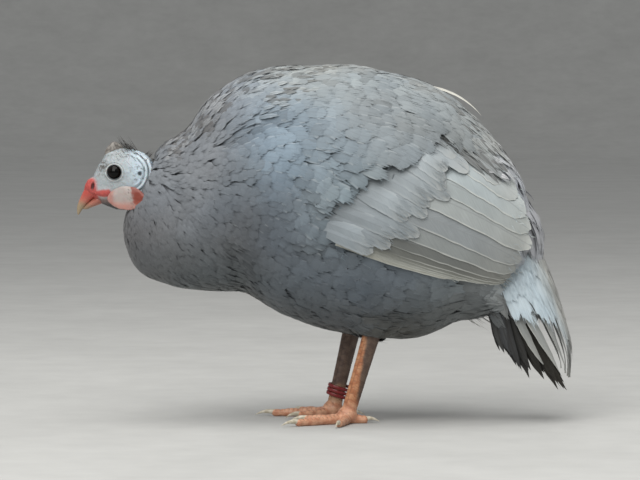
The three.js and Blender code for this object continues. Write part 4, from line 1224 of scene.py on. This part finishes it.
def lay_under_tail():
    rng = np.random.default_rng(29)
    roots, tips, tints = [], [], []
    for (rx, rz), (tx, tz), half, count, tint in UNDER_TAIL:
        share = np.linspace(-1, 1, count) + 0.1 * rng.standard_normal(count)
        shorter = 1 - 0.2 * rng.random(count)
        root = joined(rx, share * half * 0.75, rz)
        tip = joined(rx + (tx - rx) * shorter, share * half, rz + (tz - rz) * shorter)
        roots.append(root + rng.normal(0, 1, root.shape))
        tips.append(tip + rng.normal(0, 1.5, tip.shape))
        tints.append(linear(tint) * (0.85 + 0.3 * rng.random((count, 1))))
    root, tip, tint = (np.concatenate(a) for a in (roots, tips, tints))
    middle = (root + tip) / 2 + (-2, 0, -1)
    turn = tip[:, 1] / 24
    up = unit(joined(0.5 - 0.9 * np.abs(turn), 1.2 * turn, -0.45))
    drawn = (root, middle, tip), (up, up, up), np.full(len(root), UNDER_TAIL_WIDTH), tint
    bent_blades("under_tail_coverts", *drawn, SOOTY_VANE, rng, LANCET, 12, "narrow", 0.2, 0.9, 0.16, 0.1, 1.5)
    loose_barbs("under_tail_barbs", *drawn, (14, 0.5, 0.34, 0.07), rng)


lay_under_tail()


# Long worn feathers that lie over the coat: how many, the stretch of the back where they are rooted, how
# far down from its ridge, their shortest and longest length, their slope, and their narrowest and widest
# breadth.
STREAKS = [(420, (-70, 165), 26, (15, 26), -0.1, (3, 5.5)), (300, (10, 122), 52, (34, 56), -0.62, (5, 8.5))]


BACK_RIDGE = (-70, 0, 60, 120, 165), (290, 303, 296, 268, 225)  # X, and the height of the back's ridge there
PALE_STREAK, DARK_STREAK = (1.25, 1.23, 1.2), (0.66, 0.64, 0.62)


def lay_streaks():
    rng = np.random.default_rng(37)
    for label, (n, reach, deep, sizes, slope, broad) in zip(("ridge", "scapular"), STREAKS):
        x = mixed(*reach, rng.random(n))
        high = np.interp(x, *BACK_RIDGE) - deep * rng.random(n) ** 1.2
        root, up = on_skin(joined(x, np.where(np.arange(n) % 2, 1, -1) * (10 + 60 * rng.random(n)), high))
        aim = np.array((1.0, 0.0, slope)) + 0.1 * rng.standard_normal((n, 3))
        aim = unit(aim - up * (aim * up).sum(-1, keepdims=True))
        length = mixed(*sizes, rng.random((n, 1)))
        mid, far = on_skin(root + aim * length * 0.55), on_skin(root + aim * length)
        over = (COAT_DEPTH * (0.95 + 0.2 * rng.random(n)) + 2.2)[:, None]
        path = root + up * over * 0.4, mid[0] + mid[1] * over, far[0] + far[1] * (over + 0.4)
        tint = shaded(root) * np.where(rng.random((n, 1)) < 0.6, PALE_STREAK, DARK_STREAK)
        drawn = path, (up, mid[1], far[1]), mixed(*broad, rng.random(n)), tint
        bent_blades(label + "_streaks", *drawn, HACKLE_VANE, rng, HACKLE, 9, "narrow", 0.1, 0.6, 0.25, 0.05)


lay_streaks()


def lay_strays():
    """A pale feather that has come loose on the back, and wisps at the vent."""
    rng = np.random.default_rng(31)
    path = [np.array([p], float) for p in ((76, -5, 289), (109, -5, 281.5), (133, -5, 262.5))]
    up = [unit(np.array([p], float)) for p in ((0.2, -0.5, 1), (0.4, -0.5, 1), (0.8, -0.5, 0.9))]
    tint = np.array([linear("#d3d2c9")])
    drawn = path, up, np.array([5.0]), tint
    bent_blades("loose_feather_back", *drawn, CLOSED_VANE, rng, HACKLE, 16, "narrow", 0.2, 0.5, 0.3, 0.02)
    n = 26
    root, up = on_skin(joined(118 + 26 * rng.random(n), rng.normal(0, 14, n), 84 + 6 * rng.random(n)))
    aim = unit(joined(np.ones(n), 0.15 * rng.standard_normal(n), -0.35 - 0.35 * rng.random(n)))
    length = (12 + 12 * rng.random(n))[:, None]
    path = root, root + aim * length * 0.5 + up * 2, root + aim * length - (0, 0, 1) * length * 0.12
    tint = np.where(rng.random((n, 1)) < 0.3, linear("#8f8b80"), linear("#4a4a48"))
    drawn = path, [up] * 3, 1.2 + 0.8 * rng.random(n), tint
    bent_blades("vent_wisps", *drawn, LOOSE_BARBS, rng, STRAND, 6, "strand", cup=0.1)


lay_strays()


# The head.

def side_distance(at, centre):
    return np.hypot(at[:, 0] - centre[0], at[:, 2] - centre[1])


def ridge_at(value, middle, wide):
    return np.exp(-((value - middle) / wide) ** 2)


# The folds at the back of the head are arcs round one place: how high each is, its radius and its breadth.
# Between them run dark grooves: how dark each is, its radius and its breadth.
FOLD_CENTRE = np.array([-170.3, 213])
NAPE_FOLDS = ((1.6, 20, 1.25), (1.2, 16.4, 1.0), (0.6, 12.8, 0.9))
NAPE_GROOVES = ((1, 18.2, 0.6), (0.8, 14.6, 0.5), (1, 21.8, 0.6))
NAPE_END = 22.6  # past this radius the skin is black
GAPE_HEIGHT, GAPE_BREADTH = 195.4, 3.5
HEAD_VOXEL, HEAD_SMOOTHING = 0.5, 5


def arcs(arc, told):
    return sum(strength * ridge_at(arc, radius, wide) for strength, radius, wide in told)


def model_head():
    forms = [rounded(64, 48, head.point), rounded(40, 32, Body(CERE).point)]
    skull = fused(forms, HEAD_VOXEL, HEAD_SMOOTHING)
    at = places(skull)
    x, y, z = at.T
    eye, ear, arc = (side_distance(at, centre) for centre in (EYE_AT, EAR_AT, FOLD_CENTRE))
    sideways, beside_bill = smoothstep(5, 9, np.abs(y)), smoothstep(3, 5, np.abs(y))
    nostril = np.hypot((x - NOSTRIL_AT[0]) / 1.4, (z - NOSTRIL_AT[1] - 0.5 * (x - NOSTRIL_AT[0])) / 2.9)
    behind = smoothstep(-168, -160, x) * sideways
    from_gape = np.abs((z - GAPE_HEIGHT) - 0.1 * (x + 192))
    gape = np.exp(-(from_gape / GAPE_BREADTH) ** 2)
    gape = smoothstep(-183, -186.5, x) * smoothstep(-207, -202, x) * gape * sideways
    rise = (
        # lids and socket, folds of the nape, ear, nostril, gape, the swelling under the casque, and
        # wrinkles
        sideways * (ridge_at(eye, 6.3, 0.8) + 0.5 * ridge_at(eye, 8.3, 0.7) - 4.5 * smoothstep(5.9, 4.9, eye))
        + 0.9 * behind * arcs(arc, NAPE_FOLDS) * smoothstep(232, 222, z)
        + sideways * (0.25 * ridge_at(ear, 2.8, 0.9) - 1.8 * smoothstep(1.9, 0.8, ear))
        - 1.1 * smoothstep(1.2, 0.4, nostril) * beside_bill
        + 0.5 * ridge_at(nostril, 1.7, 0.5) * beside_bill
        + 1.5 * gape
        + 2.4 * smoothstep(13, 6, np.hypot(x + 182, y * 1.6)) * smoothstep(222, 229, z)
        + 0.3 * bumps(at, 3.4) + 0.16 * bumps(at, 1.5, 5)
    )
    moved(skull, rise)
    speck = bumps(at, 1.7, 9) + 0.6 * bumps(at, 0.8, 3)
    patch = bumps(at, 6, 4)
    red_front = smoothstep(-194.5, -199, x + 0.25 * (z - 200) + 0.8 * patch) * smoothstep(210.5, 206.5, z)
    coloured(skull, dabbed(
        linear("#a1a9ad"),
        ("#b6c7d3", smoothstep(-178, -158, x)),
        ("#c9c9c6", smoothstep(198, 190, z) * smoothstep(-165, -180, x)),
        # dark specks of the crown, the forehead and the ear, and faint ones all over
        ("#4c4b47", smoothstep(0.15, 0.5, speck) * smoothstep(222, 229, z + 3 * patch) * 0.75),
        ("#6d6c66", smoothstep(0.1, 0.45, speck) * smoothstep(-186, -193, x) * smoothstep(208, 213, z) * 0.8),
        ("#4a4e50", smoothstep(0.2, 0.5, speck) * ridge_at(ear, 4.5, 3) * sideways * 0.7),
        ("#8b9092", smoothstep(0.3, 0.6, speck) * 0.5),
        # grooves and folds at the back, darkened in the grooves as painted shade and paled on the crests of
        # the folds as painted light, and the black skin where the neck begins
        ("#2a2e31", behind * arcs(arc, NAPE_GROOVES) * smoothstep(-1.1, -0.1, speck) * 0.85),
        ("#d3dde3", behind * ridge_at(arc, 20, 1.2) * 0.7),
        ("#cbd7de", behind * ridge_at(arc, 16.4, 1) * 0.5),
        ("#1c1d1e", behind * smoothstep(NAPE_END, NAPE_END + 1.4, arc)),
        # the dark patch before the casque and the lids; the socket behind the eye and the ear's opening are
        # darkened as painted shade
        ("#4b4743", np.exp(-((x + 191.5) ** 2 + (z - 219.5) ** 2) / 22) * smoothstep(-0.6, 0.2, speck)),
        ("#26282a", ridge_at(eye, 6.0, 0.8) * sideways * 0.95),
        ("#c3c9c9", ridge_at(eye, 7.35, 0.4) * sideways * 0.8),
        ("#4a4f50", ridge_at(eye, 8.1, 0.45) * sideways * smoothstep(-1, 0.2, speck) * 0.6),
        ("#15110f", smoothstep(5.3, 4.6, eye) * sideways),
        ("#2b3233", smoothstep(2.5, 0.9, ear + 0.8 * speck) * sideways * 0.9),
        # the red cere and gape, the nostril darkened as painted shade, the throat, and painted shadow under
        # the bill
        ("#ad3f38", np.maximum(red_front, smoothstep(0.2, 0.7, gape)) * 0.95),
        ("#c9625b", smoothstep(-0.2, 0.5, speck) * np.maximum(red_front, gape) * 0.4),
        ("#4a1d1c", smoothstep(1.5, 0.7, nostril) * beside_bill),
        ("#5a3a34", smoothstep(194, 189, z) * smoothstep(-200, -195, x) * smoothstep(-176, -182, x) * 0.85),
        ("#26272a", smoothstep(188, 185, z + patch) * smoothstep(-200, -192, x) * 0.95),
    ))
    piece("head_skin", skull, BARE_SKIN, "bare_skin", "head")


model_head()


def model_casque():
    bm = rounded(40, 32, Body(CASQUE).point)
    at = places(bm)
    moved(bm, 0.35 * bumps(at, 2.6, 2) + 0.15 * bumps(at, 1.1, 7))
    coloured(bm, dabbed(linear("#625e59"), ("#8c8883", smoothstep(-0.3, 0.5, bumps(at, 2.2, 12)))))
    piece("casque_horn", bm, CASQUE_HORN, "casque_horn", "casque")


def model_bill():
    for label, stations, shade_share in (("upper", BEAK_UPPER, 0.0), ("lower", BEAK_LOWER, 0.5)):
        bm = rounded(48, 40, Body(stations).point)
        at = places(bm)
        moved(bm, 0.1 * bumps(at, 2.4, 6))
        tip = smoothstep(197, 181, at[:, 2] + 0.5 * (at[:, 0] + 207))
        # the lower mandible is darker, as painted shade under the upper one
        dabs = ("#b9695a", 2 * tip), ("#97866c", 2 * tip - 1), ("#8a6a58", np.array(shade_share))
        colour = dabbed(linear("#b04a41"), *dabs)
        coloured(bm, colour * (1 + 0.1 * bumps(at, 1.4, 1))[:, None])
        piece("bill_" + label, bm, BILL_HORN, "beak_horn", "beak_" + label)


RED_FROM = -166.5  # X of the line between a wattle's white front and its red end


def model_wattles():
    wattle = Body(WATTLE)
    for name, side in SIDES.items():
        bm = mirrored(rounded(40, 48, wattle.point), side)
        at = places(bm)
        moved(bm, 0.35 * bumps(at, 4, 3) + 0.14 * bumps(at, 1.5, 8))
        x, z = at[:, 0], at[:, 2]
        edge = x + 0.25 * (z - 192) + 1.6 * bumps(at, 2.2, 5)
        coloured(bm, dabbed(
            linear("#a69c98"),
            ("#7c3324", smoothstep(RED_FROM, RED_FROM + 2.5, edge)),
            ("#c97a68", smoothstep(191, 184, z + 0.8 * bumps(at, 3, 2)) * 0.6),
            ("#b9604f", smoothstep(-180, -184.5, x) * 0.5),
            ("#3c3a3a", smoothstep(0.2, 0.5, bumps(at, 1.1, 14)) * ridge_at(edge, RED_FROM - 1, 1.8) * 0.8),
        ))
        piece("wattle_skin_" + name, bm, WATTLE_SKIN, "wattle_skin", "wattle_" + name)


def model_eyes():
    wet = eye_material()
    for name, side in SIDES.items():
        bm = bmesh.new()
        bmesh.ops.create_uvsphere(bm, u_segments=48, v_segments=32, radius=EYE_RADIUS * MM)
        bmesh.ops.translate(bm, vec=Vector((EYE_AT[0], side * EYE_OUT, EYE_AT[1])) * MM, verts=bm.verts)
        piece("eyeball_" + name, bm, wet, "eye", "eye_" + name)


model_casque()
model_bill()
model_wattles()
model_eyes()


def hairs(name, root, aim, length, width, bend, toward, rng, tint, rows):
    """Hair-like feathers: thin blades from their roots, bending by their share of it towards a
    direction."""
    n = len(root)
    end = unit(aim + bend[:, None] * np.array(toward))
    middle = root + aim * (length * 0.5)[:, None]
    tip = middle + end * (length * 0.5)[:, None]
    up = unit(np.cross(aim, rng.standard_normal((n, 3))))
    drawn = (root, middle, tip), (up, up, up), width, np.tile(linear(tint), (n, 1))
    bent_blades(name, *drawn, BRISTLE, rng, HAIR, rows, "strand", cup=0.3)


CROWN_BRISTLES = 150, 26  # how many, and how many of them lean back
GROOVE_BRISTLES, NAPE_TUFT = 330, 90
BRISTLE_ARCS, ARC_SHARES = [14.6, 18.2, 23.2, 24.3], [0.12, 0.22, 0.33, 0.33]


def lay_bristles():
    rng = np.random.default_rng(17)
    # a brush on the crown leans forward, and behind it a thin tuft leans back
    n, back = CROWN_BRISTLES
    lean = rng.random(n)
    t, angle = 0.45 + 0.22 * lean, 0.42 * rng.standard_normal(n)
    t[:back] = 0.7 + 0.06 * rng.random(back)
    root = head.point(t, angle) - (0, 0, 0.8)
    aim = joined(-0.5 - 0.5 * lean + 0.2 * rng.standard_normal(n), 0.5 * np.sin(angle), np.ones(n))
    aim[:back, 0] = 1 + 0.4 * rng.random(back)
    length = 7 + 13 * rng.random(n) * (0.3 + 0.7 * lean)
    length[:back] = 4 + 4 * rng.random(back)
    width, bend = 0.22 + 0.12 * rng.random(n), 0.3 * rng.random(n)
    hairs("crown_bristles", root, unit(aim), length, width, bend, (-0.3, 0, 1), rng, "#3a3531", 8)
    # short bristles in the grooves between the folds, and a tuft where they end at the nape
    n = GROOVE_BRISTLES
    turn = np.radians(-75 + 165 * rng.random(n))
    arc = rng.choice(BRISTLE_ARCS, n, p=ARC_SHARES) + 0.4 * rng.standard_normal(n)
    x, z = FOLD_CENTRE[0] + arc * np.cos(turn), FOLD_CENTRE[1] + arc * np.sin(turn)
    side = np.where(rng.random(n) < 0.5, -1, 1)
    y = head.flank(x, z)
    inside = y > 0.5
    root = joined(x, side * (y - 0.1), z)[inside]
    turn, side = turn[inside], side[inside]
    aim = joined(-np.sin(turn), 0.14 * side, np.cos(turn)) * np.where(turn > 0, 1, -1)[:, None]
    aim[:, 0] += 0.25
    m = NAPE_TUFT
    tuft = joined(rng.normal(-149, 2, m), rng.normal(0, 4.5, m), rng.normal(221, 2.5, m))
    root = np.concatenate([root, tuft])
    aim = np.concatenate([aim, joined(1, 0.3 * rng.standard_normal(m), 0.3 * rng.standard_normal(m))])
    m = len(root)
    length, width, bend = 2.5 + 3 * rng.random(m), np.full(m, 0.4), np.full(m, 0.1)
    hairs("nape_bristles", root, unit(aim), length, width, bend, (0, 0, -1), rng, "#26282a", 5)


lay_bristles()


# Legs.

def plate_edges(u, v, wide, high):
    """0 in the grooves between staggered plates of that size and 1 on them, for places u, v in
    millimetres."""
    column = np.floor(u / wide + 0.5)
    dv = v / high + 0.5 * (column % 2)
    du = u / wide - column
    dv = dv - np.floor(dv) - 0.5
    edge = np.minimum((0.5 - np.abs(du)) * wide, (0.5 - np.abs(dv)) * high)
    return smoothstep(0, 0.75, edge)


PLATE_GROOVE, LEG_ROUGHNESS = 0.3, 0.12
LEG_VOXEL, LEG_SMOOTHING = 0.75, 4
CLAW_RADIUS, CLAW_SUNK = 2.5, 4


def heading(degrees):
    """Which way a toe points, from straight ahead to the bird's right."""
    return -math.cos(math.radians(degrees)), math.sin(math.radians(degrees))


def on_foot(leg, degrees, along, aside, high):
    """Places by how far they lie along the toe of that direction and to its side."""
    ux, uy = heading(degrees)
    return joined(leg["ankle"][0] + ux * along - uy * aside, leg["out"] + uy * along + ux * aside, high)


def toe(leg, i, degrees):
    def place(t, angle):
        taper = mixed(1.08, 0.78, t) * np.minimum(1, 3.2 * np.sqrt(np.clip(t * (1 - t), 0, 1)) + 0.15)
        knuckle = 0.35 * np.cos(t * math.pi * 6) * (i != 3)
        r = between_poles(t) * (TOE_RADIUS * taper + knuckle)
        high = TOE_HEIGHT * mixed(1.12, 0.86, t) + r * np.cos(angle)
        return on_foot(leg, degrees, TOE_LENGTHS[i] * t, r * np.sin(angle), high)
    return rounded(24, 40, place)


def claw(leg, i, degrees):
    def place(t, angle):
        r = between_poles(t) * (CLAW_RADIUS * np.clip(1 - t, 0, 1) ** 0.75)
        along = TOE_LENGTHS[i] - CLAW_SUNK + (CLAW_LENGTHS[i] + CLAW_SUNK) * t
        high = 0.9 + 2.6 * (1 - t ** 3) + 0.9 * np.sin(math.pi * t)
        high = np.maximum(0.05, high + r * np.cos(angle))
        return on_foot(leg, degrees, along, 0.8 * r * np.sin(angle), high)
    return rounded(20, 24, place)


def model_leg(name):
    leg, side = LEGS[name], SIDES[name]
    out, hock, ankle = leg["out"], leg["hock"], leg["ankle"]

    def shank(t, angle):
        flare = 1 + 0.18 * (1 - t) ** 3
        deep, wide = (mixed(*ends, t) * flare * between_poles(t) for ends in ((7.4, 6.6), (5.4, 5)))
        at = hock + (ankle - hock) * t[:, None]
        return joined(at[:, 0] + deep * np.cos(angle), out + wide * np.sin(angle), at[:, 1])

    def palm(t, angle):
        r, high = np.sin(math.pi * t), 6.5 + 8 * np.cos(math.pi * t)
        return joined(ankle[0] - 1 + 9 * r * np.cos(angle), out + 8 * r * np.sin(angle), high)

    toes = [toe(leg, i, degrees) for i, degrees in enumerate(leg["toes"])]
    bm = fused([rounded(32, 60, shank), rounded(24, 16, palm)] + toes, LEG_VOXEL, LEG_SMOOTHING)
    at = places(bm)
    x, y, z = at.T
    lean = np.clip((hock[1] - z) / (hock[1] - ankle[1]), 0, 1)
    dx, dy = x - (hock[0] + (ankle[0] - hock[0]) * lean), y - out
    turn = np.arctan2(dy, -dx)
    upper = smoothstep(13, 18, z)
    front = np.cos(turn)
    broad = plate_edges(turn * 7 + 2.6, z, 5.4, 5.2)
    small = plate_edges(turn * 7, z + 1, 2.2, 2.0)
    plates = np.where(front > 0.25, broad, 0.6 * small + 0.4)
    best, along, aside = np.full(len(at), 1e9), np.zeros(len(at)), np.zeros(len(at))
    for i, (ux, uy) in enumerate(map(heading, leg["toes"])):
        s, q = (x - ankle[0]) * ux + (y - out) * uy, -(x - ankle[0]) * uy + (y - out) * ux
        away = np.hypot(q, np.clip(-s, 0, None) + np.clip(s - TOE_LENGTHS[i], 0, None))
        nearer = away < best
        best, along, aside = (np.where(nearer, a, b) for a, b in ((away, best), (s, along), (q, aside)))
    up = normals(bm)[:, 2]
    bands = plate_edges(aside * 0.2, along, 40, 3.9)
    sides = plate_edges(aside + 3 * z, along, 1.7, 1.7)
    scutes = np.where(up > 0.45, bands, 0.55 * sides + 0.45)
    grooved = mixed(scutes, plates, upper)
    moved(bm, PLATE_GROOVE * (grooved - 1) * smoothstep(0.2, 1.5, z) + LEG_ROUGHNESS * bumps(at, 3, 3))
    for v in bm.verts:
        v.co.z = max(v.co.z, 0.0)
    mottle = smoothstep(-0.45, 0.5, bumps(at, 4, 2) + 0.4 * bumps(at, 1.3, 6))
    shank, foot, slate = (dabbed(linear(base), (over, mottle)) for base, over in (
        ("#a86b47", "#c08a64"), ("#c68a6c", "#dfac8c"), ("#564238", "#6b574a")))
    colour = dabbed(foot, (shank, smoothstep(9, 22, z)))
    if name == "left":
        # the orange front narrows upwards
        rim = mixed(-0.7, 0.62, np.clip((z - 18) / 55, 0, 1)) - 0.2 * bumps(at, 5, 8)
        dark = smoothstep(rim + 0.25, rim - 0.25, front) * smoothstep(14, 24, z)
    else:
        dark = smoothstep(22, 30, z + 3 * bumps(at, 4, 8))
        colour = dabbed(colour, ("#9a8368", smoothstep(10, 16, z) * 0.55))
    coloured(bm, dabbed(colour, (slate, dark)) * mixed(0.62, 1.0, grooved)[:, None])
    piece("leg_" + name, mirrored(bm, side), LEG_SCALES, "leg_scales", "shank_" + name, "foot_" + name)
    bm = gathered([claw(leg, i, degrees) for i, degrees in enumerate(leg["toes"])])
    coloured(bm, dabbed(linear("#b9b09a"), ("#d6d0c0", smoothstep(-0.4, 0.5, bumps(places(bm), 2.5, 4)))))
    stands_for = [f"claw_{name}_{i + 1}" for i in range(4)]
    piece("claws_" + name, mirrored(bm, side), CLAW_HORN, "claw_horn", *stands_for)


# The strip of the ring: where it begins and ends on the way from hock to ankle, and how often it is wound.
RING_FIRST, RING_LAST, RING_TURNS, RING_STEPS = 0.735, 0.865, 3, 40
RING_RADIUS, RING_THICK, RING_STRIP, RING_NARROW = 8.6, 0.72, 0.42, 0.78


def model_ring():
    """A strip wound three times round the right shank."""
    leg = LEGS["right"]
    hock, down = leg["hock"], leg["ankle"] - leg["hock"]
    pitch = np.linalg.norm(down) * (RING_LAST - RING_FIRST) / RING_TURNS
    bm = bmesh.new()
    bmesh.ops.create_circle(bm, segments=12, radius=1, cap_ends=False)
    for v in bm.verts:
        x, y = (np.sign(c) * abs(c) ** power for c, power in zip(v.co, (0.6, 0.5)))
        v.co = Vector((RING_RADIUS + RING_THICK * x, 0, RING_STRIP * pitch * y)) * MM
    bmesh.ops.spin(
        bm, geom=bm.verts[:] + bm.edges[:], cent=(0, 0, 0), axis=(0, 0, 1), angle=RING_TURNS * 2 * math.pi,
        dvec=(0, 0, -pitch * MM / RING_STEPS), steps=RING_TURNS * RING_STEPS, use_merge=False,
    )
    bmesh.ops.holes_fill(bm, edges=bm.edges, sides=12)
    bmesh.ops.recalc_face_normals(bm, faces=bm.faces)
    top = hock + down * (RING_FIRST + 0.5 / RING_TURNS * (RING_LAST - RING_FIRST))
    lean = math.atan2(-down[0], -down[1])
    for v in bm.verts:
        x, y, z = v.co / MM
        v.co = Vector((
            top[0] + x * math.cos(lean) + z * math.sin(lean), leg["out"] + RING_NARROW * y,
            top[1] + z * math.cos(lean) - x * math.sin(lean),
        )) * MM
    piece("leg_ring_strip", bm, ring_material(), "ring_plastic", "leg_ring")


model_leg("left")
model_leg("right")
model_ring()


# Floor, light and camera.

# In metres: how far the floor lies flat, and how it turns up, far behind the cameras of all views.
FLOOR_REACH, WALL_RADIUS, WALL_TURN, WALL_STEPS = 9.0, 4.0, 1.2, 16
# Soft lights: place and size in metres, power, and colour.
LIGHTS = {
    "overhead": ((-0.1, -0.5, 2.6), 2.4, 52, "#fffdfa"), "front": ((-0.9, -2.5, 2.2), 2.4, 66, "#fffcf8"),
}
SURROUND, SURROUND_POWER = "#e6e6e6", 0.52
LOOK_AT, LIGHT_AT = Vector((-0.0052, 0, 0.155)), Vector((0, 0, 0.15))
CAMERA_AWAY, CAMERA_RISE, CAMERA_LENS = 3.2, math.radians(2.5), 209


def in_scene(name, data, place=(0, 0, 0), toward=None):
    ob = bpy.data.objects.new(name, data)
    ob.location = place
    if toward:
        ob.rotation_euler = (toward - Vector(place)).to_track_quat("-Z", "Y").to_euler()
    bpy.context.scene.collection.objects.link(ob)
    return ob


def stage_scene():
    """A round pale floor that turns up into a low wall, so that no horizon shows from any side, light and
    camera."""
    turns = np.linspace(0, WALL_TURN, WALL_STEPS)[1:]
    profile = [(0, 0), (FLOOR_REACH, 0)]
    profile += [(FLOOR_REACH + WALL_RADIUS * math.sin(a), WALL_RADIUS * (1 - math.cos(a))) for a in turns]
    bm = bmesh.new()
    line = [bm.verts.new((x, 0, z)) for x, z in profile]
    edges = [bm.edges.new(pair) for pair in zip(line[:-1], line[1:])]
    bmesh.ops.spin(
        bm, geom=line + edges, cent=(0, 0, 0), axis=(0, 0, 1), angle=2 * math.pi, steps=96, use_merge=True)
    bmesh.ops.remove_doubles(bm, verts=bm.verts, dist=0.0001)
    bmesh.ops.recalc_face_normals(bm, faces=bm.faces)
    mesh = meshed("floor", bm)
    mesh.materials.append(flesh("floor_matt_paint", 40.0, 0.01, 0.85, colour="#b9bab8"))
    in_scene("floor", mesh, (0, 0, -0.0002))
    scene = bpy.context.scene
    scene.world = bpy.data.worlds.new("studio")
    scene.world.use_nodes = True
    background = scene.world.node_tree.nodes["Background"].inputs
    background["Color"].default_value = (*linear(SURROUND), 1)
    background["Strength"].default_value = SURROUND_POWER
    for label, (place, size, power, colour) in LIGHTS.items():
        light = bpy.data.lights.new(label, "AREA")
        light.size, light.energy, light.color = size, power, linear(colour)
        in_scene(label, light, place, LIGHT_AT)
    camera = bpy.data.cameras.new("camera")
    camera.sensor_width, camera.lens = 36, CAMERA_LENS
    away = Vector((0, -math.cos(CAMERA_RISE), math.sin(CAMERA_RISE))) * CAMERA_AWAY
    scene.camera = in_scene("camera", camera, LOOK_AT + away, LOOK_AT)
    scene.view_settings.view_transform = "Standard"


stage_scene()
